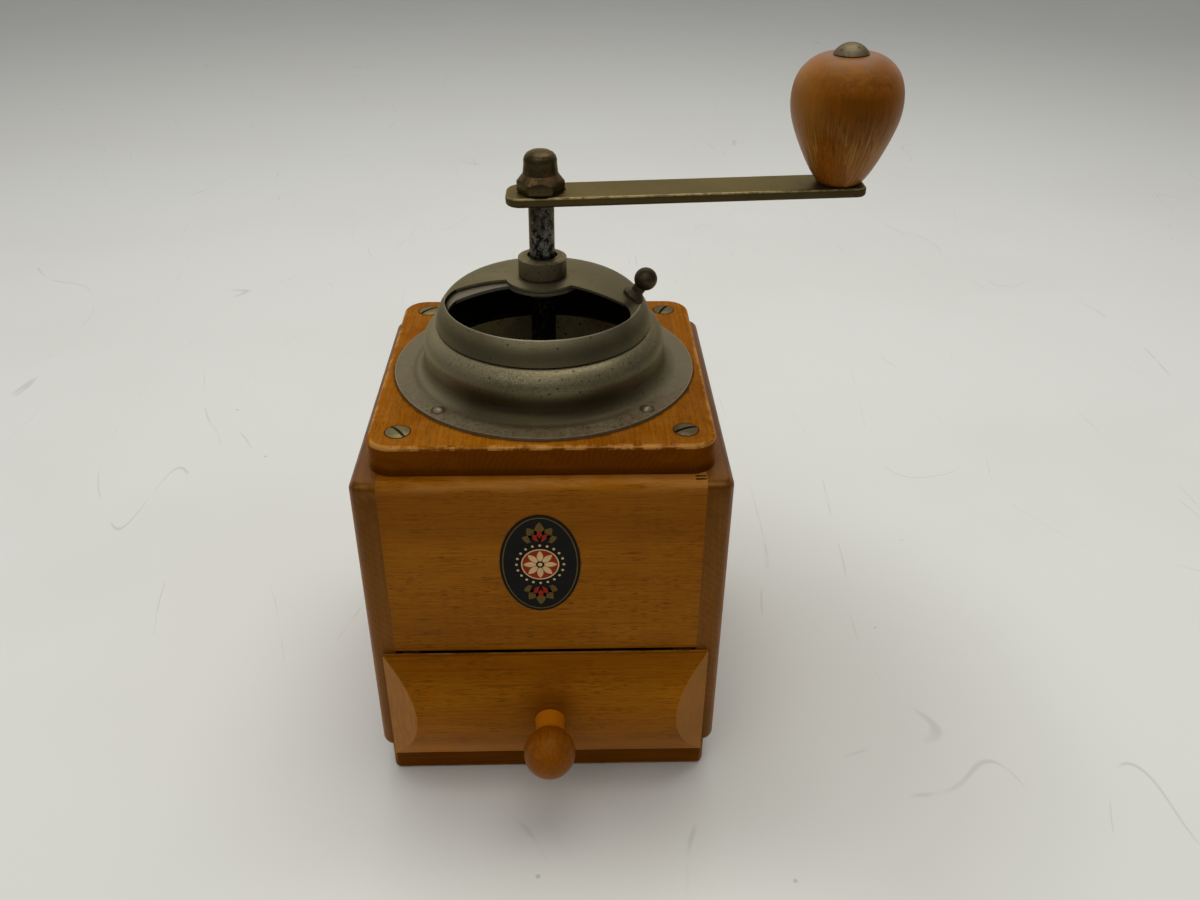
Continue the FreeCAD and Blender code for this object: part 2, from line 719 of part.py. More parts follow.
def make_shaft_bush():
    shoulder = collar_bottom
    thread_top = collar_top - collar_web
    flange_low = dome_hub_bottom - bush_flange_thickness
    points = [(bore_radius, dome_hub_bottom - bush_length_below),
              (bush_outer_radius, dome_hub_bottom - bush_length_below),
              (bush_outer_radius, flange_low), (bush_flange_radius, flange_low),
              (bush_flange_radius, dome_hub_bottom), (bush_outer_radius, dome_hub_bottom),
              (bush_outer_radius, shoulder), (bush_thread_radius, shoulder),
              (bush_thread_radius, thread_top), (bore_radius, thread_top)]
    return turned(points)


def make_bush_nut():
    """Round collar, screwed onto the bush, that keeps the cover on."""
    thread_top = collar_top - collar_web
    mouth = shaft_radius + collar_mouth_gap
    return turned([(bush_thread_radius, collar_bottom), (collar_radius, collar_bottom),
                   (collar_radius, collar_top - collar_chamfer_height),
                   (collar_radius - collar_chamfer_width, collar_top), (mouth, collar_top),
                   (mouth, thread_top), (bush_thread_radius, thread_top)])


def make_lower_bridge():
    half_y = bridge_width / 2
    outer_x = ring_flat_x + bridge_leg_thickness
    bar = box(-outer_x, outer_x, -half_y, half_y, bridge_bottom, bridge_bar_top)
    legs = [box(*sorted((s * ring_flat_x, s * outer_x)), -half_y, half_y, bridge_bottom, bridge_leg_top)
            for s in (-1, 1)]
    boss = rod(bridge_boss_radius, bridge_bottom, bridge_bar_top + bridge_boss_height)
    thread = rod(adjuster_thread_radius + adjuster_running_clearance, bridge_bottom - 1,
                 bridge_bar_top + bridge_boss_height + 1)
    bridge = bar.fuse(legs + [boss]).removeSplitter()
    return bridge.cut([thread, detent_shank()] + bridge_screw_shanks())


def bridge_screw_shanks():
    outer_x = ring_flat_x + bridge_leg_thickness
    inner = ring_flat_x - bridge_screw_bite
    return [rod_along_x(bridge_screw_radius, *sorted((s * inner, s * outer_x)), 0, bridge_screw_z)
            for s in (-1, 1)]


def make_bridge_screws():
    outer_x = ring_flat_x + bridge_leg_thickness
    tip_x = outer_x + bridge_screw_head_height
    screws = []
    for side, shank in zip((-1, 1), bridge_screw_shanks()):
        x0, x1 = sorted((side * outer_x, side * tip_x))
        head = rod_along_x(bridge_screw_head_radius, x0, x1, 0, bridge_screw_z)
        slot_x0, slot_x1 = sorted((side * (tip_x - 1.0), side * (tip_x + 1)))
        slot = box(slot_x0, slot_x1, -6, 6, bridge_screw_z - 0.5, bridge_screw_z + 0.5)
        screws.append(head.fuse(shank).removeSplitter().cut(slot))
    return group(screws)


def make_adjusting_screw():
    head_low = adjuster_head_top - adjuster_head_thickness
    head = rod(adjuster_head_radius, head_low, adjuster_head_top)
    notch = box(-0.6, 0.6, -0.6, 0.6, head_low - 1, adjuster_head_top + 1)
    notch.rotate(V(0, 0, 0), UP, 45)
    notch.translate(V(adjuster_head_radius, 0, 0))
    head = head.cut(around(notch, adjuster_notch_count, 7.5))
    thread = rod(adjuster_thread_radius, head_low, adjuster_top)
    cup = Part.makeSphere(thrust_ball_radius + thrust_ball_clearance, V(0, 0, ball_z))
    return head.fuse(thread).removeSplitter().cut(cup)


def make_thrust_ball():
    return Part.makeSphere(thrust_ball_radius, V(0, 0, ball_z))


def detent_start():
    return adjuster_head_radius + detent_gap


def detent_screw_x():
    return detent_start() + detent_length * 0.72


def detent_shank():
    return rod(detent_screw_radius, bridge_bottom - detent_thickness, bridge_bar_top, detent_screw_x())


def make_detent_spring():
    x0 = detent_start()
    half = detent_width / 2
    low = bridge_bottom - detent_thickness
    leaf = box(x0, x0 + detent_length, -half, half, low, bridge_bottom)
    lip = box(x0, x0 + detent_thickness, -half, half, bridge_bottom - detent_lip, bridge_bottom)
    return leaf.fuse(lip).removeSplitter().cut(detent_shank())


def make_detent_screw():
    low = bridge_bottom - detent_thickness
    head = rod(detent_screw_head_radius, low - 1.4, low, detent_screw_x())
    slot = box(-5, 5, -0.4, 0.4, low - 2.4, low - 0.8)
    slot.translate(V(detent_screw_x(), 0, 0))
    return head.fuse(detent_shank()).removeSplitter().cut(slot)


# ---------------------------------------------------------------- crank
def on_arm(shape):
    """Move a shape from the arm's own frame, with its upper face at height 0, to its place."""
    placed = shape.copy()
    arm_place = FreeCAD.Placement(V(0, 0, arm_top_height), FreeCAD.Rotation(V(0, 1, 0), -arm_rise_angle))
    placed.Placement = arm_place.multiply(shape.Placement)
    return placed


def at_crank_pin(points):
    solid = turned(points)
    solid.translate(V(crank_radius, 0, 0))
    return on_arm(solid)


def make_crank_arm():
    half = arm_width / 2
    bar = box(-arm_tail, arm_length, -half, half, -arm_thickness, 0)
    bar = rounded(bar, arm_tail_radius, lambda b: upright(b) and b.XMin < 0)
    bar = rounded(bar, arm_tip_radius, lambda b: upright(b) and b.XMin > 0)
    bar = rounded(bar, arm_edge_radius, lambda b: b.ZLength < 1e-4)
    bar = bar.cut(rod(spindle_radius, -arm_thickness - 1, 1, crank_radius))
    arm = on_arm(bar)
    nut_corner = nut_across_flats / math.sqrt(3)
    upper_seat = rod(nut_corner + 0.2, nut_seat, nut_seat + arm_thickness)
    lower_seat = rod(shaft_radius + 0.2, shaft_shoulder - arm_thickness, shaft_shoulder)
    half_square = shaft_square / 2
    square = box(-half_square, half_square, -half_square, half_square,
                 shaft_shoulder - arm_thickness, nut_seat + arm_thickness)
    square = square.common(rod(shaft_radius, shaft_shoulder - arm_thickness, nut_seat + arm_thickness))
    return arm.cut([upper_seat, lower_seat, square])


def make_cap_nut():
    corner = nut_across_flats / math.sqrt(3)
    hex_top = nut_seat + nut_hex_height
    top = nut_seat + nut_height
    dome = nut_dome_radius
    cap_rim = (dome - 0.15, top - nut_dome_rise)
    cap_radius = sphere_through(cap_rim[0], nut_dome_rise)
    cap_centre = (0.0, top - cap_radius)
    cap_foot = (dome + 0.15, hex_top - 0.5)
    chamfered = turned([(0, nut_seat), (corner - 0.4, nut_seat), (corner, nut_seat + 0.4),
                        (corner, hex_top - nut_chamfer), (dome + 0.5, hex_top), (0, hex_top)])
    body = hexagon(nut_across_flats, nut_seat, hex_top).common(chamfered)
    cap_edges = [line_rz((0, cap_foot[1]), cap_foot), line_rz(cap_foot, cap_rim),
                 arc_rz(cap_centre, cap_radius, angle_to(cap_centre, cap_rim), math.pi / 2),
                 line_rz((0, top), (0, cap_foot[1]))]
    cap = Part.Face(Part.Wire(cap_edges)).revolve(V(0, 0, 0), UP, 360)
    thread = rod(shaft_thread_radius, nut_seat - 1, nut_seat + nut_thread_depth)
    return body.fuse(cap).removeSplitter().cut(thread)


def make_knob_spindle():
    rivet_low = -arm_thickness - spindle_rivet_height
    shaft = at_crank_pin([(0, rivet_low), (spindle_rivet_radius * 0.7, rivet_low),
                          (spindle_rivet_radius, -arm_thickness - 0.3),
                          (spindle_rivet_radius, -arm_thickness), (spindle_radius, -arm_thickness),
                          (spindle_radius, spindle_head_low + 0.5), (0, spindle_head_low + 0.5)])
    head = domed_head(spindle_head_radius, spindle_head_height, spindle_head_low, crank_radius)
    return shaft.fuse(on_arm(head)).removeSplitter()


def make_crank_knob():
    """Pear-shaped wooden grip: a smooth curve from its foot over the belly to the top."""
    bore = spindle_radius + spindle_running_clearance
    belly_z = knob_low + knob_belly_height
    swell = knob_belly_radius - knob_foot_radius
    drop = knob_belly_radius - knob_top_radius
    curve = [(knob_foot_radius + swell * share, knob_low + knob_belly_height * height)
             for height, share in knob_lower_curve]
    curve += [(knob_belly_radius, belly_z)]
    curve += [(knob_top_radius + drop * share, belly_z + (knob_high - belly_z) * height)
              for height, share in knob_upper_curve]
    curve += [(knob_top_radius, knob_high)]
    side = Part.BSplineCurve()
    side.interpolate([V(r, 0, z) for r, z in curve])
    outline = [side.toShape(), line_rz((knob_top_radius, knob_high), (bore, knob_high)),
               line_rz((bore, knob_high), (bore, knob_low)),
               line_rz((bore, knob_low), (knob_foot_radius, knob_low))]
    knob = Part.Face(Part.Wire(outline)).revolve(V(0, 0, 0), UP, 360)
    knob.translate(V(crank_radius, 0, 0))
    return on_arm(knob)


# ---------------------------------------------------------------- drawer
def make_drawer_front():
    half = drawer_front_width / 2
    low = drawer_front_bottom
    high = drawer_front_top
    corners = [V(-half, drawer_front_back_y, low), V(-half, drawer_front_edge_y, low),
               V(-half, drawer_face_y, (low + high) / 2), V(-half, drawer_front_edge_y, high),
               V(-half, drawer_front_back_y, high)]
    section = [Part.LineSegment(corners[0], corners[1]).toShape(),
               Part.Arc(corners[1], corners[2], corners[3]).toShape(),
               Part.LineSegment(corners[3], corners[4]).toShape(),
               Part.LineSegment(corners[4], corners[0]).toShape()]
    cushion = Part.Face(Part.Wire(section)).extrude(V(drawer_front_width, 0, 0))
    bevelled = half - drawer_front_bevel
    plan = [(-half, drawer_front_back_y), (half, drawer_front_back_y), (half, drawer_front_edge_y),
            (bevelled, drawer_face_y), (-bevelled, drawer_face_y), (-half, drawer_front_edge_y)]
    outline = [V(x, y, low - 1) for x, y in plan]
    block = Part.Face(Part.makePolygon(outline + outline[:1])).extrude(V(0, 0, high - low + 2))
    tenon = Part.makeCylinder(drawer_knob_tenon_radius, drawer_front_edge + drawer_front_bulge + 1,
                              V(drawer_knob_offset, drawer_front_back_y, drawer_knob_z), V(0, -1, 0))
    return cushion.common(block).cut(tenon)


def drawer_bottom_solid():
    reach = drawer_inner_x + drawer_groove_depth
    return box(-reach, reach, drawer_front_back_y, drawer_end_y,
               drawer_floor, drawer_floor + drawer_bottom_thickness)


def make_drawer_side(side):
    x0, x1 = sorted((side * drawer_inner_x, side * drawer_outer_x))
    board = box(x0, x1, drawer_front_back_y, drawer_end_y, drawer_low, drawer_low + drawer_side_height)
    return board.cut(drawer_bottom_solid())


def make_drawer_back():
    floor_top = drawer_floor + drawer_bottom_thickness
    return box(-drawer_inner_x, drawer_inner_x, drawer_end_y - drawer_board, drawer_end_y,
               floor_top, floor_top + drawer_back_height)


def make_drawer_knob():
    """Turned knob along -Y: tenon, waisted neck and ball."""
    tenon_length = drawer_front_edge + drawer_front_bulge
    neck_end = drawer_knob_reach - math.sqrt(drawer_knob_ball_radius ** 2 - drawer_knob_neck_radius ** 2)
    neck = Part.Arc(V(drawer_knob_root_radius, 0, 0),
                    V(drawer_knob_neck_radius, 0, neck_end * 0.6),
                    V(drawer_knob_neck_radius + 0.1, 0, neck_end)).toShape()
    outline = [line_rz((0, -tenon_length), (drawer_knob_tenon_radius, -tenon_length)),
               line_rz((drawer_knob_tenon_radius, -tenon_length), (drawer_knob_tenon_radius, 0)),
               line_rz((drawer_knob_tenon_radius, 0), (drawer_knob_root_radius, 0)), neck,
               line_rz((drawer_knob_neck_radius + 0.1, neck_end), (0, neck_end)),
               line_rz((0, neck_end), (0, -tenon_length))]
    stem = Part.Face(Part.Wire(outline)).revolve(V(0, 0, 0), UP, 360)
    ball = Part.makeSphere(drawer_knob_ball_radius, V(0, 0, drawer_knob_reach))
    knob = stem.fuse(ball).removeSplitter()
    knob.Placement = FreeCAD.Placement(V(drawer_knob_offset, drawer_face_y, drawer_knob_z),
                                       FreeCAD.Rotation(UP, V(0, -1, 0)))
    return knob


# ---------------------------------------------------------------- all nodes
def all_nodes():
    envelope = case_envelope()
    cover = make_cover_cap()
    return {
        "base_plate": make_base_plate(),
        "base_screws": make_base_screws(),
        "side_board_left": make_side_board(envelope, -1),
        "side_board_right": make_side_board(envelope, 1),
        "front_panel": make_panel(envelope, -1, panel_bottom),
        "back_panel": make_panel(envelope, 1, base_thickness),
        "corner_blocks": make_corner_blocks(),
        "lid_plate": make_lid_plate(),
        "lid_screws": make_lid_screws(),
        "front_label": make_front_label(),
        "hopper_dome": make_hopper_dome(),
        "dome_pins": make_dome_pins(),
        "hopper_funnel": make_hopper_funnel(),
        "cover_cap": cover,
        "cover_knob": make_cover_knob(cover),
        "shaft_bush": make_shaft_bush(),
        "bush_nut": make_bush_nut(),
        "burr_ring": make_burr_ring(),
        "burr_cone": make_burr_cone(),
        "cone_pin": make_cone_pin(),
        "main_shaft": make_main_shaft(),
        "lower_bridge": make_lower_bridge(),
        "bridge_screws": make_bridge_screws(),
        "adjusting_screw": make_adjusting_screw(),
        "thrust_ball": make_thrust_ball(),
        "detent_spring": make_detent_spring(),
        "detent_screw": make_detent_screw(),
        "crank_arm": make_crank_arm(),
        "cap_nut": make_cap_nut(),
        "knob_spindle": make_knob_spindle(),
        "crank_knob": make_crank_knob(),
        "drawer_front": make_drawer_front(),
        "drawer_side_left": make_drawer_side(-1),
        "drawer_side_right": make_drawer_side(1),
        "drawer_back": make_drawer_back(),
        "drawer_bottom": drawer_bottom_solid(),
        "drawer_knob": make_drawer_knob(),
    }


os.makedirs("parts", exist_ok=True)
for node, shape in all_nodes().items():
    shape.exportStep(os.path.join("parts", node + ".step"))
    print(f"{node:18s} solids {len(shape.Solids)} volume {shape.Volume:10.1f} valid {shape.isValid()}")
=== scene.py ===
import math
from collections import namedtuple

import bmesh
import bpy
from mathutils import Matrix, Vector


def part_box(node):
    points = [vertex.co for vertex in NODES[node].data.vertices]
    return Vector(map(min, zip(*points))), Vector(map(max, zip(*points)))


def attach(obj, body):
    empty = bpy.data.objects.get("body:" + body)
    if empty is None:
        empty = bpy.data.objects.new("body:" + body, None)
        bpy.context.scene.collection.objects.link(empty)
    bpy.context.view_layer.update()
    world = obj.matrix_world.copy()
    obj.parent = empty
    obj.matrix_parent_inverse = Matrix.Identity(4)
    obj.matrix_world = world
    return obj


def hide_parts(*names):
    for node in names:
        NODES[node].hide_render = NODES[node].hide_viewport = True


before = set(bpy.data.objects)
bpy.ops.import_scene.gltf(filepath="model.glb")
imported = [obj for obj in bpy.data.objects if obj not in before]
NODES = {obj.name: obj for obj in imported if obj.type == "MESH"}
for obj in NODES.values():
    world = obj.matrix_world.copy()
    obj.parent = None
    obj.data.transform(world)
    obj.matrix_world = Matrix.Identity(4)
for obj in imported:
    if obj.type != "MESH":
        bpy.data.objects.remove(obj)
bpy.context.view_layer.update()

MM = 0.001
FAR = 1000.0                        # in mm, beyond every piece
OPENING_RADIUS = 31.7               # of the half-moon openings in dome and cover, in mm
Tones = namedtuple("Tones", "dark mid light")


def in_mm(corners):
    """The low and the high corner of a box, in millimetres."""
    low, high = corners
    return low / MM, high / MM


def added(name, data):
    """New object with this data, in the scene."""
    made = bpy.data.objects.new(name, data)
    bpy.context.scene.collection.objects.link(made)
    return made


# ---------------------------------------------------------------- node trees
class Tree:
    """Node tree written as calls. A value is a number, a tuple or the output of another node."""

    def __init__(self, tree):
        self.tree = tree

    def node(self, kind, values=None, **settings):
        """New node with these settings, and values by the name or number of its inputs."""
        made = self.tree.nodes.new(kind)
        for key, value in settings.items():
            setattr(made, key, value)
        for key, value in (values or {}).items():
            self.feed(made.inputs[key], value)
        return made

    def feed(self, socket, value):
        if isinstance(value, bpy.types.NodeSocket):
            self.tree.links.new(value, socket)
        elif isinstance(value, tuple) and socket.type == "RGBA":
            socket.default_value = value + (1.0,) * (4 - len(value))
        else:
            socket.default_value = value

    def parts(self, vector):
        """The X, Y and Z of a vector."""
        return self.node("ShaderNodeSeparateXYZ", {0: vector}).outputs[:]

    def math(self, operation, *values):
        return self.node("ShaderNodeMath", dict(enumerate(values)), operation=operation).outputs[0]

    def total(self, *values):
        result = values[0]
        for value in values[1:]:
            result = self.math("ADD", result, value)
        return result

    def product(self, *values):
        result = values[0]
        for value in values[1:]:
            result = self.math("MULTIPLY", result, value)
        return result

    def step(self, value, low, high, top=1.0):
        """Smooth step from 0 at low to top at high, where low may be the larger one."""
        limits = {"Value": value, "From Min": low, "From Max": high, "To Max": top}
        return self.node("ShaderNodeMapRange", limits, interpolation_type="SMOOTHSTEP").outputs["Result"]


class Graph(Tree):
    """Node tree of one procedural material. Places and heights in it are in millimetres."""

    def __init__(self, name):
        self.material = bpy.data.materials.new(name)
        self.material.use_nodes = True
        super().__init__(self.material.node_tree)
        self.tree.nodes.clear()
        self.shader = self.node("ShaderNodeBsdfPrincipled")
        self.node("ShaderNodeOutputMaterial", {"Surface": self.shader.outputs[0]})
        coordinates = self.node("ShaderNodeTexCoord")
        self.place = self.vector("MULTIPLY", coordinates.outputs["Object"], (1 / MM,) * 3)
        self.x, self.y, self.z = self.parts(self.place)
        self.normal = coordinates.outputs["Normal"]
        # How far the surface faces back and up, each from -1 to 1
        _, self.backward, self.upward = self.parts(self.normal)

    def vector(self, operation, *values):
        return self.node("ShaderNodeVectorMath", dict(enumerate(values)), operation=operation).outputs[0]

    def stretched(self, per_mm, shift):
        """The place times per_mm, which is one number or three, and moved so that patterns differ."""
        scale = (per_mm,) * 3 if isinstance(per_mm, float) else per_mm
        scaled_place = self.vector("MULTIPLY", self.place, scale)
        return self.vector("ADD", scaled_place, (shift, 0.7 * shift, 1.3 * shift))

    def fractal(self, place, detail, roughness, distortion=0.0):
        """Noise round 0.5 at a place given in units of its largest features."""
        values = {"Vector": place, "Scale": 1.0, "Detail": detail, "Roughness": roughness,
                  "Distortion": distortion}
        return self.node("ShaderNodeTexNoise", values).outputs[0]

    def noise(self, per_mm, detail=3.0, roughness=0.5, distortion=0.0, shift=0.0):
        return self.fractal(self.stretched(per_mm, shift), detail, roughness, distortion)

    def round_streaks(self, centre_x, across, along, shift):
        """Noise in streaks along the meridians of a turned piece with an upright axis."""
        flat = self.node("ShaderNodeCombineXYZ", {0: self.math("SUBTRACT", self.x, centre_x), 1: self.y})
        bearing = self.vector("NORMALIZE", flat.outputs[0])
        spread = self.vector("MULTIPLY", bearing, (across, across, 0.0))
        rise = self.node("ShaderNodeCombineXYZ", {2: self.math("MULTIPLY_ADD", self.z, along, shift)})
        return self.fractal(self.vector("ADD", spread, rise.outputs[0]), 4.0, 0.65)

    def dots(self, per_mm, radius, share, shift):
        """Mask of dots scattered one to a cell, of which only a share is kept."""
        values = {"Vector": self.stretched(per_mm, shift), "Scale": 1.0}
        cells = self.node("ShaderNodeTexVoronoi", values)
        chance = self.node("ShaderNodeSeparateColor", {0: cells.outputs["Color"]}).outputs[0]
        return self.product(self.step(cells.outputs["Distance"], radius, 0.6 * radius),
                            self.step(chance, 1 - share, 1 - share + 0.02))

    def facing(self, centre):
        """Positive where the surface faces away from the centre, given in mm."""
        outward = self.vector("SUBTRACT", self.place, centre)
        dot = self.node("ShaderNodeVectorMath", {0: outward, 1: self.normal}, operation="DOT_PRODUCT")
        return dot.outputs["Value"]

    def distance(self, *spans):
        """Length of the vector with these parts."""
        return self.math("SQRT", self.total(*[self.product(span, span) for span in spans]))

    def from_axis(self):
        """Distance from the mill's upright axis."""
        return self.distance(self.x, self.y)

    def band(self, value, low, high, soft):
        """Mask that is 1 between low and high, with soft ends."""
        return self.product(self.step(value, low - soft, low), self.step(value, high + soft, high))

    def near_four(self, x, y, radius, soft):
        """Mask round the four places at plus and minus x and y."""
        across = self.math("SUBTRACT", self.math("ABSOLUTE", self.x), x)
        along = self.math("SUBTRACT", self.math("ABSOLUTE", self.y), y)
        return self.step(self.distance(across, along), radius + soft, radius)

    def near_edge(self, low, high):
        """Distance in mm to the nearest edge of the box from low to high."""
        gaps = []
        for value, start, end in zip((self.x, self.y, self.z), low, high):
            gaps.append(self.math("MINIMUM", self.math("SUBTRACT", value, start),
                                  self.math("SUBTRACT", end, value)))
        nearest = self.math("MINIMUM", gaps[0], gaps[1])
        farther = self.math("MAXIMUM", gaps[0], gaps[1])
        return self.math("MAXIMUM", nearest, self.math("MINIMUM", farther, gaps[2]))

    def tint(self, factor, first, second):
        """Mix of two colours; the numbers are those of the node's sockets for colours."""
        return self.node("ShaderNodeMix", {0: factor, 6: first, 7: second}, data_type="RGBA").outputs[2]

    def over(self, colour, paint, *masks):
        """The colour with a paint over it, as thick as the product of the masks."""
        return self.tint(self.product(*masks), colour, paint)

    def ramp(self, factor, stops):
        made = self.node("ShaderNodeValToRGB", {0: factor})
        elements = made.color_ramp.elements
        while len(elements) < len(stops):
            elements.new(0.5)
        for element, (position, colour) in zip(elements, stops):
            element.position = position
            element.color = colour + (1.0,)
        return made.outputs[0]

    def toned(self, factor, tones, spread):
        """Dark to light tone, for a factor up to spread away from 0.5."""
        stops = [(0.5 - spread, tones.dark), (0.5, tones.mid), (0.5 + spread, tones.light)]
        return self.ramp(factor, stops)

    def bump(self, height):
        """Surface relief from a height in millimetres."""
        relief = self.node("ShaderNodeBump", {"Strength": 1.0, "Distance": MM, "Height": height})
        self.feed(self.shader.inputs["Normal"], relief.outputs[0])

    def finish(self, **inputs):
        for name, value in inputs.items():
            self.feed(self.shader.inputs[name.replace("_", " ")], value)
        return self.material


# ---------------------------------------------------------------- wood
ORANGE = Tones((0.180, 0.053, 0.0008), (0.252, 0.079, 0.0014), (0.320, 0.108, 0.0035))
SIDE = Tones((0.110, 0.037, 0.0048), (0.156, 0.055, 0.0080), (0.200, 0.074, 0.0125))
LID = Tones((0.160, 0.044, 0.0008), (0.235, 0.073, 0.0012), (0.315, 0.108, 0.0035))
KNOB = Tones((0.160, 0.043, 0.0005), (0.222, 0.061, 0.0007), (0.290, 0.086, 0.0015))
BASE = Tones((0.085, 0.023, 0.0004), (0.125, 0.036, 0.0008), (0.170, 0.052, 0.0018))
PLAIN = Tones((0.34, 0.20, 0.10), (0.42, 0.26, 0.135), (0.50, 0.33, 0.18))
WORN = (0.66, 0.32, 0.095)
FLECK = (0.082, 0.022, 0.0002)
STAIN = (0.045, 0.012, 0.0008)
END_GRAIN = (0.102, 0.0245, 0.0004)
SHEEN = (1.0, 0.60, 0.12, 1.0)      # tint of the old varnish's reflection


def scaled(colour, factor):
    return tuple(factor * channel for channel in colour)


def fibre(grain, along, across):
    """How fine a pattern is along each axis, when it is stretched along the grain."""
    return tuple(along if axis == grain else across for axis in "XYZ")


def wood(name, grain, tones, box=None, wear=0.0, wear_width=1.0, flecks=0.6, streaks=0.5,
         contrast=1.0, shift=0.0, coat=0.0, shine=0.20, extra=None):
    """Varnished, fine-flecked wood whose fibres run along the grain axis.

    With a box, its two corners in mm, the wood is worn bare along the edges of that box. With
    extra, that function adds the piece's own marks to the colour; it is also given the noise of
    the fine fibres.
    """
    g = Graph(name)
    broad = g.noise(fibre(grain, 0.008, 0.050), detail=2, shift=shift)
    fine = g.noise(fibre(grain, 0.045, 1.1), detail=4, roughness=0.60, shift=shift + 3)
    blotch = g.noise(0.03, detail=2, shift=shift + 9)
    tone = g.total(g.product(broad, 0.34), g.product(fine, 0.46), g.product(blotch, 0.20))
    colour = g.toned(tone, tones, 0.17 / contrast)
    dense = g.step(g.noise(fibre(grain, 0.04, 0.14), detail=1, shift=shift + 4), 0.30, 0.62)
    dash = g.step(g.noise(fibre(grain, 0.30, 3.4), detail=1, shift=shift + 5), 0.55, 0.65)
    long = g.step(g.noise(fibre(grain, 0.09, 2.4), detail=2, shift=shift + 7), 0.57, 0.68)
    fleck = g.math("MAXIMUM", g.product(dash, dense, flecks), g.product(long, streaks))
    colour = g.over(colour, FLECK, fleck, 0.82)
    specks = g.dots(0.085, radius=0.045, share=0.12, shift=shift + 11)
    colour = g.over(colour, STAIN, specks, 0.7)
    if extra:
        colour = extra(g, colour, fine)
    rough = g.math("MULTIPLY_ADD", fine, 0.16, 0.34)
    if box:
        edge = g.near_edge(*box)
        ragged = g.step(g.noise(0.11, detail=5, roughness=0.68, shift=shift + 13), 0.34, 0.60)
        worn = g.product(g.step(edge, 1.5 * wear_width, 0.55 * wear_width), ragged, wear)
        colour = g.over(colour, WORN, worn)
        chipped = g.step(g.noise(0.30, shift=shift + 15), 0.66, 0.72)
        colour = g.over(colour, STAIN, g.step(edge, 1.8 * wear_width, 0.9 * wear_width), chipped, wear)
        rough = g.total(rough, g.product(worn, 0.10))
    swell = g.noise(0.06, detail=1, shift=shift + 17)
    g.bump(g.total(g.product(fine, 0.012), g.product(swell, 0.10), g.product(fleck, -0.010),
                   g.product(specks, -0.05)))
    return g.finish(Base_Color=colour, Roughness=rough, Coat_Weight=coat, Coat_Roughness=0.15,
                    Specular_IOR_Level=shine, Specular_Tint=SHEEN)


def board(node, grain, tones, open_low=None, open_high=None, **more):
    """Wood of a node, worn along the edges of its box.

    A side that is hidden, open_low or open_high along that axis (0 for X, 2 for Z), has no edges.
    """
    low, high = in_mm(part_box(node))
    if open_low is not None:
        low[open_low] = -FAR
    if open_high is not None:
        high[open_high] = FAR
    return wood(node + "_wood", grain, tones, box=(low, high), **more)


def lid_marks(g, colour, fine):
    """Dark ribbed end grain at front and back with painted shade at its foot, a worn shoulder with a
    painted highlight, painted contact shadow round the flange and the screws.
    """
    low, high = in_mm(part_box("lid_plate"))
    rib_slant = 0.55                # mm to the right for each mm upwards
    rib_phase = 3.6                 # radians for each mm
    rib_wander = 30.0               # radians
    # Pale colour of the shoulder: worn wood and painted highlight
    bare = (0.60, 0.29, 0.075)
    countersink_shade = (0.02, 0.008, 0.002)
    leaning = g.math("MULTIPLY_ADD", g.z, -rib_slant, g.x)
    wander = g.product(g.noise(0.08, shift=302), rib_wander)
    ribs = g.math("SINE", g.math("MULTIPLY_ADD", leaning, rib_phase, wander))
    dark = g.tint(g.step(ribs, -0.9, 0.9), scaled(END_GRAIN, 0.93), scaled(END_GRAIN, 1.10))
    cloud = g.noise((0.07, 0.07, 0.20), roughness=0.6, shift=306)
    dark = g.over(dark, LID.dark, g.step(cloud, 0.48, 0.66), 0.45)
    # Painted shade along the end grain's lower edge, where the lid sits on the body
    foot = g.step(g.z, low.z + 3.5, low.z + 1.5)
    dark = g.over(dark, STAIN, foot, 0.55)
    at_end = g.step(g.math("ABSOLUTE", g.backward), 0.30, 0.82)
    colour = g.over(colour, dark, at_end, 0.92)
    # The rounded shoulder is paler: partly worn bare wood, partly a painted highlight standing in for the
    # varnish's gloss
    shoulder = g.band(g.upward, 0.30, 0.92, 0.10)
    rubbed = g.noise(0.16, detail=4, roughness=0.65, shift=308)
    colour = g.over(colour, bare, shoulder, g.step(rubbed, 0.44, 0.58), 0.50)
    nicks = g.noise((0.22, 0.22, 0.9), roughness=0.6, shift=309)
    colour = g.over(colour, STAIN, shoulder, g.step(nicks, 0.63, 0.67), 0.75)
    on_top = g.step(g.z, high.z - 1.0, high.z - 0.4)
    flange = in_mm(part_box("hopper_dome"))[1].x
    # Painted contact shadow on the lid's top round the dome's flange; the noise only frays its edge
    grime = g.noise(0.25, detail=4, roughness=0.6, shift=304)
    ragged = g.math("MULTIPLY_ADD", grime, -2.6, g.from_axis())
    colour = g.over(colour, STAIN, g.step(ragged, flange - 0.1, flange - 1.5), on_top, 0.70)
    # Painted shade in and round the screws' countersinks
    screws = in_mm(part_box("lid_screws"))[1]
    head = 3.65
    sunk = g.near_four(screws.x - head, screws.y - head, head + 0.25, 0.35)
    return g.over(colour, countersink_shade, sunk, on_top, 0.85)


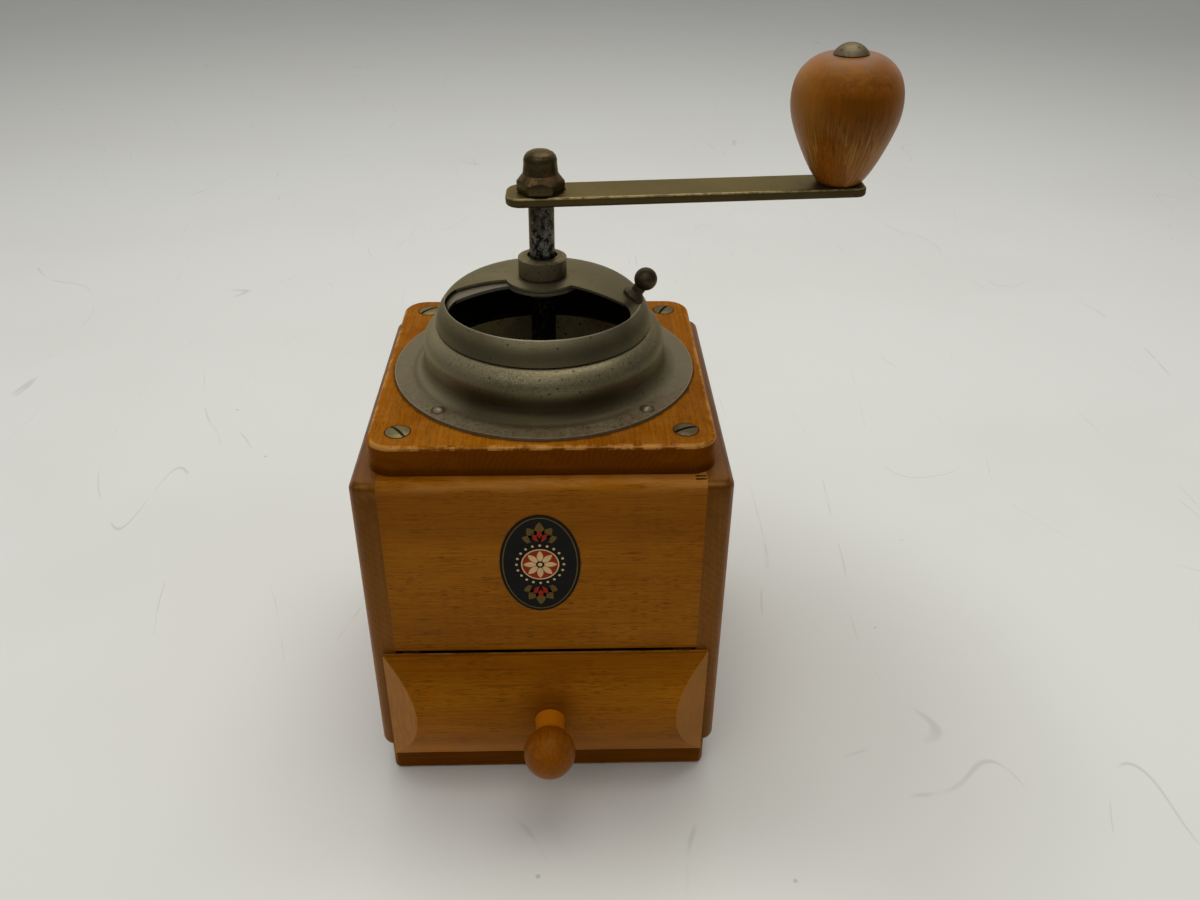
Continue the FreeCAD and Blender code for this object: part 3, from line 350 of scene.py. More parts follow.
def side_board_faces(g, colour, fine):
    """The outer face is as warm as the panels; the narrow faces are browner, ribbed, darker towards the
    top, and painted with shade on their rounded edges.
    """
    darker_upper_tone = (0.078, 0.023, 0.0022)
    rounded_edge_shade = (0.075, 0.023, 0.0025)
    end = in_mm(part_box("side_board_right"))[1]
    flat_face = g.step(g.math("ABSOLUTE", g.y), end.y - 0.9, end.y - 2.3)
    below_top = g.step(g.z, end.z - 1.0, end.z - 3.5)
    outer = g.product(flat_face, below_top)
    warm = g.toned(fine, ORANGE, 0.2)
    ribs = g.math("SINE", g.math("MULTIPLY_ADD", g.z, 2.1, g.product(g.x, 1.9)))
    brown = g.over(colour, STAIN, g.math("MULTIPLY_ADD", ribs, 0.07, 0.07))
    # Darker in patches on the upper part of the narrow faces
    handled = g.noise((0.09, 0.09, 0.06), detail=4, roughness=0.65, shift=314)
    upper = g.product(g.step(g.z, end.z - 28.0, end.z - 8.0), g.step(handled, 0.36, 0.56),
                      g.step(g.upward, 0.97, 0.85))
    brown = g.over(brown, darker_upper_tone, upper, 0.65)
    # Painted shade on the rounded edges that face up and forward
    rounded = g.band(g.upward, 0.35, 0.90, 0.12)
    brown = g.over(brown, rounded_edge_shade, rounded, 0.60)
    return g.over(brown, warm, outer, 0.85)


def panel_marks(g, colour, fine):
    """A darker band and a paler strip under the lid, and two short nicks beside the right board."""
    low, high = in_mm(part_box("front_panel"))
    darker = (0.125, 0.031, 0.0006)
    paler = (0.40, 0.175, 0.045)
    cut = (0.006, 0.002, 0.001)
    under = g.band(g.z, high.z - 18.0, high.z - 5.0, 5.0)
    colour = g.over(colour, darker, under, 0.30)
    rub = g.noise((0.05, 0.05, 0.30), shift=316)
    strip = g.product(g.step(g.z, high.z - 4.0, high.z - 1.0), g.step(rub, 0.36, 0.60))
    colour = g.over(colour, paler, strip, 0.45)
    nick_gap, nick_length, nick_width = 0.3, 3.0, 0.55
    nick_end = in_mm(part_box("side_board_right"))[0].x - nick_gap
    for inward in (2.2, 3.7):
        nick_front = low.y + inward
        across = g.band(g.x, nick_end - nick_length, nick_end, 0.25)
        along = g.band(g.y, nick_front, nick_front + nick_width, 0.2)
        colour = g.over(colour, cut, across, along, g.step(g.upward, 0.5, 0.8))
    return colour


def drawer_bevels(g, colour, fine):
    """Ribbed end bevels and a lower part paled by painted reflection, a painted highlight along the lower
    rim, a darker top and a stain above the knob.
    """
    low, high = in_mm(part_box("drawer_front"))
    bevel_length, bevel_depth = 9.7, 6.4
    dark_top = (0.100, 0.024, 0.0008)
    foot_floor_reflection = (0.47, 0.165, 0.009)
    groove, ridge = (0.165, 0.047, 0.0015), (0.350, 0.118, 0.008)
    bare_crease = (0.42, 0.20, 0.05)
    lower_rim_highlight = (0.45, 0.24, 0.09)
    handled = (0.11, 0.026, 0.0010)
    top = g.step(g.z, high.z - 15.0, high.z - 1.0)
    colour = g.over(colour, dark_top, top, 0.40)
    # Painted reflection of the pale floor on the lower, down-curving part, stronger on the left
    foot = g.step(g.z, low.z + 12.0, low.z + 2.0)
    left = g.step(g.x, 20.0, -30.0)
    colour = g.over(colour, foot_floor_reflection, foot, g.math("MULTIPLY_ADD", left, 0.35, 0.50))
    # The same all over a bevel, and more on the face between the bevels
    across = g.math("SUBTRACT", high.x, g.math("ABSOLUTE", g.x))
    depth = g.math("ADD", g.y, g.product(across, bevel_depth / bevel_length))
    bevel = low.y + bevel_depth
    on_bevel = g.step(depth, bevel + 0.35, bevel + 0.05)
    # The bevels' ribs are the wood's own; their paleness is a painted reflection of the pale floor,
    # stronger on the left
    ribs = g.step(g.noise((1.3, 1.3, 0.14), roughness=0.6, shift=310), 0.36, 0.64)
    pale = g.tint(ribs, groove, ridge)
    colour = g.over(colour, pale, on_bevel, g.math("MULTIPLY_ADD", left, 0.45, 0.16))
    crease = g.band(depth, bevel - 0.05, bevel + 0.20, 0.12)
    colour = g.over(colour, bare_crease, crease, 0.35)
    # Painted highlight, broken, along the lower rim
    rim = g.product(g.step(g.z, low.z + 1.3, low.z + 0.4), g.step(g.noise(0.10, shift=312), 0.42, 0.62))
    colour = g.over(colour, lower_rim_highlight, rim, 0.6)
    knob_low, knob_high = in_mm(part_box("drawer_knob"))
    knob = (knob_low + knob_high) / 2
    aside = g.math("SUBTRACT", g.x, knob.x)
    above = g.product(g.math("SUBTRACT", g.z, knob.z + 6.0), 0.8)
    stain = g.step(g.distance(aside, above), 13.0, 2.0)
    return g.over(colour, handled, stain, 0.55)


def grip_tones(g, colour, fine):
    """Worn lower part with dark streaks and cracks, a darker belly with painted shade on its right, a
    paler swirled crown with a painted grey sheen, and painted reflections on the flanks.
    """
    low, high = in_mm(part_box("crank_knob"))
    foot = low.z
    middle = (low.x + high.x) / 2
    aside = g.math("SUBTRACT", g.x, middle)
    dark_streak = (0.120, 0.034, 0.0006)
    rubbed_dark, rubbed_pale = (0.130, 0.045, 0.004), (0.430, 0.200, 0.052)
    dark_belly = (0.085, 0.025, 0.0006)
    dark_line = (0.045, 0.013, 0.0006)
    crack = (0.022, 0.007, 0.0006)
    curl_dark, curl_pale = (0.135, 0.042, 0.0024), (0.265, 0.096, 0.013)
    clouded = (0.30, 0.185, 0.105)
    flank_reflection = (0.37, 0.150, 0.020)
    streak = g.round_streaks(middle, 26.0, 0.035, 320.0)
    colour = g.over(colour, dark_streak, g.step(streak, 0.52, 0.36), 0.45)

    # Rubbed lower part, with a patch of varnish kept on the front, left of the middle
    thin = g.round_streaks(middle, 60.0, 0.070, 326.0)
    rubbed = g.tint(g.step(thin, 0.40, 0.58), rubbed_dark, rubbed_pale)
    ragged = g.noise((0.14, 0.14, 0.07), detail=4, roughness=0.6, shift=328)
    lean = 0.22                     # of the patch's sides, mm to the right for each mm downwards
    edge = g.math("MULTIPLY_ADD", ragged, 7.0, g.math("MULTIPLY_ADD", g.z, lean, aside))
    centre = lean * (foot + 10.0) + 3.5
    kept = g.product(g.band(edge, centre - 9.0, centre - 2.0, 0.35), g.step(g.y, 1.0, -1.0),
                     g.step(g.z, foot + 19.0, foot + 16.0))
    bare = g.math("SUBTRACT", 1.0, g.product(kept, 0.85))
    lower = g.step(g.z, foot + 25.0, foot + 13.0)
    colour = g.over(colour, rubbed, lower, g.step(streak, 0.38, 0.54), bare, 0.90)

    belly = g.product(g.step(g.z, foot + 12.0, foot + 19.0), g.step(g.z, foot + 32.0, foot + 27.0))
    patch = g.noise((0.055, 0.055, 0.035), shift=324)
    # The belly's patches are the wood's tone; on its right it also gets painted shade
    right = g.step(g.x, middle - 8.5, middle + 4.5)
    darker = g.total(g.product(g.step(patch, 0.36, 0.58), 0.40), g.product(right, 0.40))
    colour = g.over(colour, dark_belly, belly, darker)
    lines = g.product(g.step(thin, 0.59, 0.64), g.step(g.z, foot + 28.0, foot + 20.0))
    colour = g.over(colour, dark_line, lines, 0.80)
    splits = g.round_streaks(middle, 42.0, 0.22, 332.0)
    cracks = g.product(g.step(splits, 0.59, 0.63), g.band(g.z, foot + 13.0, foot + 23.0, 2.0))
    colour = g.over(colour, crack, cracks, 0.85)

    crown = g.step(g.z, foot + 27.0, foot + 33.0)
    swirl = g.noise((0.22, 0.22, 0.40), detail=4, roughness=0.65, distortion=0.8, shift=336)
    curl = g.tint(g.step(swirl, 0.36, 0.64), curl_dark, curl_pale)
    colour = g.over(colour, curl, crown, 0.62)
    # Painted grey sheen round the top of the crown
    grey_sheen = g.product(g.step(g.z, foot + 31.0, foot + 38.0), g.step(swirl, 0.64, 0.36))
    colour = g.over(colour, clouded, grey_sheen, 0.28)
    # Painted reflection that pales both the left and the right flank
    flank = g.step(g.math("ABSOLUTE", aside), 7.0, 15.0)
    return g.over(colour, flank_reflection, flank, 0.45)


def neck_tones(g, colour, fine):
    """Painted light makes the drawer knob's neck a lighter orange than its handled ball."""
    handled_brown = (0.130, 0.034, 0.0008)
    lit_neck_orange = (0.520, 0.155, 0.0015)
    front = in_mm(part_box("drawer_knob"))[0].y
    handled = g.noise(0.09, roughness=0.6, shift=146)
    colour = g.over(colour, handled_brown, g.step(handled, 0.44, 0.60), 0.45)
    # Painted light on the neck, which lies in shade beside the panel
    neck = g.step(g.y, front + 14.5, front + 17.0)
    return g.over(colour, lit_neck_orange, neck, 0.65)


def wood_materials():
    """Materials of the wooden nodes."""
    panel = dict(grain="X", tones=ORANGE, flecks=0.9, streaks=0.75)
    side = dict(grain="Z", tones=SIDE, wear=0.25, wear_width=1.2, flecks=0.45, streaks=0.4,
                extra=side_board_faces)
    inner = dict(tones=PLAIN, flecks=0.4, streaks=0.3)
    crosswise = wood("inner_wood", "X", shift=180, **inner)
    lengthwise = wood("inner_side_wood", "Y", shift=190, **inner)
    return {
        "front_panel": wood("front_panel_wood", extra=panel_marks, **panel),
        "back_panel": wood("back_panel_wood", shift=40, **panel),
        "side_board_left": board("side_board_left", open_high=0, shift=20, **side),
        "side_board_right": board("side_board_right", open_low=0, shift=60, **side),
        "lid_plate": board("lid_plate", "Y", LID, open_low=2, wear=0.6, wear_width=0.62, flecks=0.5,
                           streaks=0.3, shift=80, shine=0.01, extra=lid_marks),
        "base_plate": board("base_plate", "X", BASE, wear=0.35, flecks=0.5, shine=0.03, shift=100),
        "drawer_front": board("drawer_front", "X", ORANGE, wear=0.25, wear_width=0.6, flecks=0.8,
                              streaks=0.6, shift=120, shine=0.13, extra=drawer_bevels),
        "drawer_knob": wood("drawer_knob_wood", "Y", KNOB, flecks=0.5, streaks=0.6, contrast=1.2,
                            shift=140, coat=0.04, extra=neck_tones),
        "crank_knob": wood("crank_knob_wood", "Z", KNOB, flecks=0.4, streaks=0.6, contrast=1.3,
                           shift=160, coat=0.06, extra=grip_tones),
        **dict.fromkeys(("corner_blocks", "drawer_back", "drawer_bottom"), crosswise),
        **dict.fromkeys(("drawer_side_left", "drawer_side_right"), lengthwise),
    }


# ---------------------------------------------------------------- metal
def shades(colour, spread):
    """Dark, middle and light tone round one colour."""
    return Tones(scaled(colour, 1 - spread), colour, scaled(colour, 1 + spread))


OLIVE = Tones((0.094, 0.079, 0.043), (0.133, 0.113, 0.063), (0.178, 0.152, 0.088))
ARM = shades((0.092, 0.068, 0.022), 0.22)
NUT = shades((0.058, 0.043, 0.018), 0.55)
COLLAR = shades((0.120, 0.101, 0.060), 0.35)
SPINDLE = shades((0.098, 0.079, 0.047), 0.70)
COVER_KNOB = shades((0.050, 0.041, 0.024), 0.5)
BOWL = shades((0.56, 0.49, 0.32), 0.25)
SHAFT = Tones((0.006, 0.005, 0.004), (0.030, 0.026, 0.020), (0.20, 0.19, 0.17))
BURR = shades((0.10, 0.096, 0.09), 0.4)
BRASS = shades((0.20, 0.14, 0.06), 0.3)
SCREW = shades((0.092, 0.070, 0.036), 0.35)
PIN = shades((0.20, 0.158, 0.092), 0.40)
RUST = (0.085, 0.036, 0.014)
PIT = (0.012, 0.009, 0.006)
GLOSS = (0.88, 0.78, 0.58, 1.0)     # tint of the old plating's glancing reflection


def metal(name, tones, roughness=0.42, pits=0.35, rust=0.25, extra=None, shift=0.0):
    """Dull aged metal: slow changes of tone, fine speckle, dark pits and rusty patches.

    With extra, that function adds the piece's own marks to the colour, the roughness and the
    mask of dirt, which is less metallic.
    """
    g = Graph(name)
    slow = g.noise(0.05, detail=2, shift=shift)
    speckle = g.noise(2.6, roughness=0.7, shift=shift + 2)
    tone = g.total(g.product(slow, 0.60), g.product(speckle, 0.40))
    colour = g.toned(tone, tones, 0.14)
    patches = g.noise(0.16, detail=4, roughness=0.62, shift=shift + 4)
    rusty = g.product(g.step(patches, 0.56, 0.70), rust)
    colour = g.over(colour, RUST, rusty)
    coarse_pit = g.dots(0.40, radius=0.20, share=pits, shift=shift + 6)
    fine_pit = g.dots(0.95, radius=0.30, share=pits, shift=shift + 8)
    pitted = g.math("MAXIMUM", g.product(coarse_pit, 0.85), g.product(fine_pit, 0.55))
    colour = g.over(colour, PIT, pitted)
    rough = g.total(g.math("MULTIPLY_ADD", slow, 0.16, roughness - 0.08), g.product(rusty, 0.25))
    dirt = g.math("MAXIMUM", rusty, pitted)
    if extra:
        colour, rough, dirt = extra(g, colour, rough, dirt)
    g.bump(g.total(g.product(speckle, 0.0125), g.product(slow, 0.05), g.product(pitted, -0.03)))
    clean, dirty = 0.85, 0.34       # how metallic it is
    metallic = g.math("SUBTRACT", clean, g.product(dirt, clean - dirty))
    return g.finish(Base_Color=colour, Roughness=rough, Metallic=metallic, Specular_IOR_Level=0.3,
                    Specular_Tint=GLOSS)


def black_inside(g, colour, rough):
    """Colour and roughness of the hopper's sheet, black and dull where it faces the seed."""
    black = (0.020, 0.016, 0.010)
    seat = in_mm(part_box("hopper_dome"))[0].z
    inside = g.step(g.facing((0.0, 0.0, seat - 12.0)), 1.0, -1.0)
    return g.over(colour, black, inside, 0.9), g.total(rough, g.product(inside, 0.25))


def dome_marks(g, colour, rough, dirt):
    """Brown grime on the flange, a gritty band under the skirt, painted shade and light on the wall,
    painted contact shadow round the pins, a tin top and a black inside.
    """
    low, high = in_mm(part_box("hopper_dome"))
    seat = low.z
    edge = high.x
    radius = g.from_axis()
    flange_plating = (0.125, 0.101, 0.055)
    grime = (0.112, 0.070, 0.036)
    pale_grit = (0.28, 0.24, 0.14)
    dark_grain, pale_grain = (0.036, 0.024, 0.011), (0.24, 0.195, 0.110)
    deep_shade, light_shade = (0.034, 0.026, 0.011), (0.045, 0.036, 0.019)
    lit_side = (0.28, 0.24, 0.15)
    pin_contact_shade = (0.024, 0.016, 0.009)
    rubbed_rim = (0.26, 0.22, 0.14)
    clean_tin = (0.18, 0.16, 0.120)
    flange = g.step(radius, edge - 9.0, edge - 5.5)
    front = g.step(g.y, -5.0, -40.0)
    colour = g.over(colour, flange_plating, flange, 0.7)
    stain = g.noise(0.10, detail=4, roughness=0.65, shift=31)
    brown = g.product(flange, g.step(stain, 0.42, 0.60), g.math("MULTIPLY_ADD", front, 0.60, 0.15))
    colour = g.over(colour, grime, brown)
    grit = g.noise(1.7, roughness=0.75, shift=33)
    band = g.product(g.step(g.z, seat + 9.5, seat + 13.0), g.step(grit, 0.46, 0.62))
    colour = g.over(colour, pale_grit, band, 0.45)
    grains = g.noise(0.9, roughness=0.72, shift=35)
    gritty = g.product(flange, g.step(grains, 0.53, 0.62), g.math("MULTIPLY_ADD", front, 0.55, 0.12))
    colour = g.over(colour, dark_grain, gritty)
    pale = g.product(flange, g.step(grains, 0.42, 0.34), g.math("MULTIPLY_ADD", front, 0.20, 0.12))
    colour = g.over(colour, pale_grain, pale)

    # The wall's front lies in shade, its foot is darker all round, and its left is lit
    forward = g.math("DIVIDE", g.y, g.math("MAXIMUM", radius, 1.0))
    shade = g.product(g.step(forward, -0.55, -0.97), g.step(g.z, seat + 11.0, seat + 7.0),
                      g.step(radius, edge - 4.5, edge - 7.5))
    colour = g.over(colour, deep_shade, shade, 0.92)
    fillet = g.product(g.step(g.z, seat + 6.5, seat + 4.0), g.step(radius, edge - 5.0, edge - 7.0))
    colour = g.over(colour, light_shade, fillet, 0.40)
    lit = g.product(g.step(g.x, -20.0, -36.0), g.step(radius, edge - 6.5, edge - 8.5))
    colour = g.over(colour, lit_side, lit, 0.50)

    # Painted contact shadow on the flange round each pin
    pins = in_mm(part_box("dome_pins"))[1]
    head = 1.75
    pin_shade_ring = g.near_four(pins.x - head, pins.y - head, head + 0.35, 0.65)
    colour = g.over(colour, pin_contact_shade, pin_shade_ring, flange, 0.85)
    rim = g.step(radius, edge - 0.5, edge - 0.2)
    colour = g.over(colour, rubbed_rim, rim, 0.35)
    sheltered = g.product(g.step(radius, OPENING_RADIUS + 0.5, OPENING_RADIUS + 0.2),
                          g.step(g.z, seat + 14.5, seat + 16.0))
    colour = g.over(colour, clean_tin, sheltered)
    colour, rough = black_inside(g, colour, g.total(rough, g.product(flange, 0.06)))
    return colour, rough, g.math("MAXIMUM", dirt, g.product(flange, 0.85))


def cover_marks(g, colour, rough, dirt):
    """Painted shade on the skirt and on the right side, a rubbed rim of the opening, and a black inside.
    """
    painted_skirt_shade = (0.050, 0.044, 0.022)
    painted_side_shade = (0.062, 0.054, 0.029)
    rubbed_rim = (0.42, 0.38, 0.27)
    seat = in_mm(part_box("hopper_dome"))[0].z
    radius = g.from_axis()
    # Painted shade on the skirt all round
    skirt = g.step(radius, OPENING_RADIUS + 0.3, OPENING_RADIUS + 2.8)
    colour = g.over(colour, painted_skirt_shade, skirt, 0.60)
    # Painted shade on the crown's right side
    crown = g.step(radius, OPENING_RADIUS + 0.3, OPENING_RADIUS - 3.7)
    right = g.step(g.x, 0.0, 18.0)
    colour = g.over(colour, painted_side_shade, crown, right, 0.45)
    rim = g.product(g.band(radius, OPENING_RADIUS - 0.1, OPENING_RADIUS + 0.1, 0.2),
                    g.step(g.z, seat + 16.0, seat + 17.0))
    colour = g.over(colour, rubbed_rim, rim, 0.6)
    colour, rough = black_inside(g, colour, rough)
    return colour, rough, dirt


def shaft_mottle(g, colour, rough, dirt):
    """Black scale worn through to bright specks."""
    brown_film = (0.045, 0.028, 0.014)
    bright = (0.15, 0.14, 0.12)
    black_scale = (0.005, 0.004, 0.003)
    specks = g.noise((0.75, 0.75, 0.50), detail=4, roughness=0.72, shift=152)
    brown = g.noise((0.3, 0.3, 0.2), detail=2, shift=156)
    colour = g.over(colour, brown_film, g.step(brown, 0.45, 0.62), 0.5)
    colour = g.over(colour, bright, g.step(specks, 0.56, 0.68), 0.8)
    colour = g.over(colour, black_scale, g.step(specks, 0.50, 0.42))
    return colour, rough, dirt


def screw_marks(g, colour, rough, dirt):
    """The heads on the left are brighter than those on the right."""
    bright = (0.175, 0.135, 0.058)
    left = g.step(g.x, 30.0, -30.0)
    return g.over(colour, bright, left, 0.7), rough, dirt


def lit_chamfers_shaded_sides(side, edge, edge_top=FAR, rubbed=(0.26, 0.205, 0.105)):
    """Marks for a piece: chamfers below edge_top, rubbed and with a painted highlight, and painted shade
    on its upright sides.
    """
    painted_side_shade = (0.022, 0.015, 0.006)

    def marks(g, colour, rough, dirt):
        # Painted shade on the upright sides
        colour = g.over(colour, painted_side_shade, g.step(g.upward, 0.45, 0.15), side)
        # The chamfers are rubbed, and they also carry a painted highlight
        ragged = g.noise(0.6, detail=4, roughness=0.65, shift=400)
        worn_lit_chamfer = g.product(g.band(g.upward, 0.40, 0.86, 0.10), g.step(ragged, 0.34, 0.60),
                            g.step(g.z, edge_top + 0.5, edge_top))
        return g.over(colour, rubbed, worn_lit_chamfer, edge), rough, dirt
    return marks


def metal_materials():
    """Materials of the metal nodes."""
    bowl = metal("bowl_tin", BOWL, roughness=0.32, rust=0.2, shift=130)
    shaft = metal("shaft_steel", SHAFT, roughness=0.36, pits=0.6, rust=0.4, shift=150, extra=shaft_mottle)
    iron = metal("burr_iron", BURR, roughness=0.55, pits=0.5, shift=170)
    screws = metal("screw_steel", SCREW, roughness=0.4, rust=0.5, pits=0.5, shift=220, extra=screw_marks)
    # The arm, the two nuts and the spindle get painted shade on their upright sides, and all but the
    # spindle get painted highlights on their chamfers
    hexagon_top = in_mm(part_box("cap_nut"))[0].z + 6.0
    nut_edges = lit_chamfers_shaded_sides(0.10, 0.80, edge_top=hexagon_top, rubbed=(0.120, 0.070, 0.028))
    return {
        "hopper_dome": metal("dome_plating", OLIVE, pits=0.6, extra=dome_marks),
        "cover_cap": metal("cover_plating", OLIVE, pits=0.25, rust=0.2, shift=50, extra=cover_marks),
        "cover_knob": metal("cover_knob_metal", COVER_KNOB, rust=0.3, shift=110),
        "crank_arm": metal("arm_plating", ARM, pits=0.2, rust=0.3, shift=70, extra=lit_chamfers_shaded_sides(0.45, 0.75)),
        "cap_nut": metal("nut_plating", NUT, pits=0.7, rust=0.8, roughness=0.33, shift=90,
                         extra=nut_edges),
        "bush_nut": metal("collar_plating", COLLAR, pits=0.4, rust=0.5, roughness=0.38, shift=95,
                          extra=lit_chamfers_shaded_sides(0.35, 0.80)),
        "knob_spindle": metal("spindle_plating", SPINDLE, pits=0.8, rust=0.6, roughness=0.46, shift=105,
                              extra=lit_chamfers_shaded_sides(0.60, 0.0)),
        "shaft_bush": metal("bush_brass", BRASS, roughness=0.35, rust=0.2, shift=200),
        "dome_pins": metal("pin_steel", PIN, rust=0.6, shift=240),
        **dict.fromkeys(("hopper_funnel", "detent_spring"), bowl),
        **dict.fromkeys(("main_shaft", "lower_bridge", "adjusting_screw", "thrust_ball", "cone_pin"),
                        shaft),
        **dict.fromkeys(("burr_ring", "burr_cone"), iron),
        **dict.fromkeys(("lid_screws", "base_screws", "bridge_screws", "detent_screw"), screws),
    }


def dress_nodes():
    """Gives each CAD node its material, and returns the materials by node."""
    materials = {**wood_materials(), **metal_materials()}
    for node, material in materials.items():
        mesh = NODES[node].data
        mesh.materials.clear()
        mesh.materials.append(material)
    return materials


# ---------------------------------------------------------------- forged cap nut
def soft_least(first, second, softness):
    """Smaller of two sizes, with the corner between them rounded."""
    gap = min(1.0, max(0.0, 0.5 + 0.5 * (second - first) / softness))
    return second + (first - second) * gap - softness * gap * (1 - gap)


def nut_outline(corner, crown, thread_radius, flats_top, cone_top):
    """Half section as (radius, height above the seat), from the thread's end round to the top."""
    thread_depth = 9.0
    root = 5.40                     # radius where the cone meets the dome
    dome = 5.15
    thread = [(0.0, thread_depth), (thread_radius, thread_depth), (thread_radius, 0.0)]
    hexagon = [(corner - 0.6, 0.0), (corner - 0.15, 0.25), (corner, 0.7), (corner, flats_top - 0.15),
               (corner - 0.15, flats_top + 0.15)]
    cone_end = [(root + 0.25, cone_top - 0.1), (root + 0.05, cone_top + 0.15), (root, cone_top + 0.5)]
    shoulder = [(dome, 8.2), (dome - 0.05, 9.9), (dome - 0.35, 10.9), (dome - 1.0, 11.75),
                (dome - 2.2, 12.4), (dome - 3.7, crown - 0.05), (0.0, crown)]
    return thread + hexagon + cone_end + shoulder


def make_cap_nut(material):
    """Hollow nut: worn hexagon, cone up to the dome's root, and a dome with a rounded shoulder."""
    low, high = in_mm(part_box("cap_nut"))
    seat = low.z
    flat = high.y                   # from the axis to the middle of a flat
    corner = high.x                 # from the axis to a corner
    crown = high.z - seat - 0.35
    thread_radius = 3.0
    flats_top, cone_top = 3.4, 5.6
    worn_corner, softness = 0.99, 0.04      # as shares of the radius to a corner
    outline = nut_outline(corner, crown, thread_radius, flats_top, cone_top)
    columns = 120
    rings_between = 4
    profile = []
    for (r0, z0), (r1, z1) in zip(outline, outline[1:]):
        for i in range(rings_between):
            share = i / rings_between
            profile.append((r0 + (r1 - r0) * share, z0 + (z1 - z0) * share))
    profile.append(outline[-1])
    bm = bmesh.new()
    rows = []
    for radius, z in profile:
        below_cone_top = (cone_top - z) / (cone_top - flats_top)
        hexagonal = min(1.0, max(0.0, below_cone_top)) if radius > thread_radius else 0.0
        row = []
        for i in range(columns):
            angle = 2 * math.pi * i / columns
            from_flat = angle % (math.pi / 3) - math.pi / 6
            cut = 1 - soft_least(worn_corner, flat / corner / math.cos(from_flat), softness)
            reach = radius * (1 - cut * hexagonal)
            place = (reach * math.cos(angle), reach * math.sin(angle), seat + z)
            row.append(bm.verts.new([part * MM for part in place]))
        rows.append(row)
    for lower, upper in zip(rows, rows[1:]):
        for i in range(columns):
            j = (i + 1) % columns
            bm.faces.new((lower[i], lower[j], upper[j], upper[i]))
    bmesh.ops.remove_doubles(bm, verts=bm.verts, dist=0.001 * MM)
    bmesh.ops.recalc_face_normals(bm, faces=bm.faces)
    for face in bm.faces:
        face.smooth = True
    mesh = bpy.data.meshes.new("forged_cap_nut")
    bm.to_mesh(mesh)
    bm.free()
    mesh.materials.append(material)
    nut = added("forged_cap_nut", mesh)
    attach(nut, "rotor")
    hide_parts("cap_nut")


# ---------------------------------------------------------------- emblem
EMBLEM_COLOURS = {
    "ink": (0.005, 0.005, 0.004), "gold": (0.120, 0.072, 0.015), "red": (0.27, 0.021, 0.004),
    "cream": (0.62, 0.42, 0.20),
}


def print_ink(name, colour):
    """Matt print, a little blotched and faded."""
    g = Graph("emblem_" + name)
    blur = g.noise(1.4, roughness=0.6)
    fade = g.noise(0.25, detail=2, shift=5)
    darker = scaled(colour, 0.72)
    lighter = tuple(1.18 * channel + 0.004 for channel in colour)
    tone = g.tint(g.math("MULTIPLY_ADD", blur, 0.5, g.math("SUBTRACT", fade, 0.25)), darker, lighter)
    g.bump(g.product(blur, 0.02))
    return g.finish(Base_Color=tone, Roughness=0.50, Specular_IOR_Level=0.07)


def at_bearing(angle, radius):
    """Place (x, z) so far from the middle, at an angle from upright in degrees."""
    turn = math.radians(angle)
    return radius * math.sin(turn), radius * math.cos(turn)


class Emblem:
    """Flat printed shapes in mm, stacked outwards from the panel, gathered in one mesh."""

    def __init__(self):
        low, high = in_mm(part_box("front_label"))
        self.centre = (low + high) / 2
        self.half = (high - low) / 2
        self.face = low.y
        self.back = high.y
        self.layer = 0.012
        self.bm = bmesh.new()
        self.inks = list(EMBLEM_COLOURS)

    def plate(self, points, level, ink):
        """Closed flat plate from its outline round the emblem's centre."""
        front = self.face - level * self.layer
        back = self.back if level == 0 else front + self.layer
        rows = []
        for y in (front, back):
            places = [(self.centre.x + x, y, self.centre.z + z) for x, z in points]
            rows.append([self.bm.verts.new([part * MM for part in place]) for place in places])
        faces = [self.bm.faces.new(rows[0]), self.bm.faces.new(rows[1][::-1])]
        count = len(points)
        for i in range(count):
            j = (i + 1) % count
            faces.append(self.bm.faces.new((rows[0][j], rows[0][i], rows[1][i], rows[1][j])))
        for face in faces:
            face.material_index = self.inks.index(ink)

    def oval(self, rx, rz, level, ink, x=0.0, z=0.0, count=96):
        turns = [2 * math.pi * i / count for i in range(count)]
        self.plate([(x + rx * math.cos(turn), z + rz * math.sin(turn)) for turn in turns], level, ink)

    def leaf(self, length, width, level, ink, x, z, angle, count=28):
        """Pointed leaf that starts at (x, z) and runs out at the angle from upright."""
        points = []
        for i in range(count):
            t = i / (count - 1)
            points.append((0.5 * width * math.sin(math.pi * t) ** 0.8, length * t))
        points += [(-px, pz) for px, pz in points[-2:0:-1]]
        cosine, sine = math.cos(math.radians(angle)), math.sin(math.radians(angle))
        placed = [(x + px * cosine + pz * sine, z - px * sine + pz * cosine) for px, pz in points]
        self.plate(placed, level, ink)

    def finish(self):
        bmesh.ops.recalc_face_normals(self.bm, faces=self.bm.faces)
        mesh = bpy.data.meshes.new("emblem")
        self.bm.to_mesh(mesh)
        self.bm.free()
        for name in self.inks:
            mesh.materials.append(print_ink(name, EMBLEM_COLOURS[name]))
        return added("emblem", mesh)


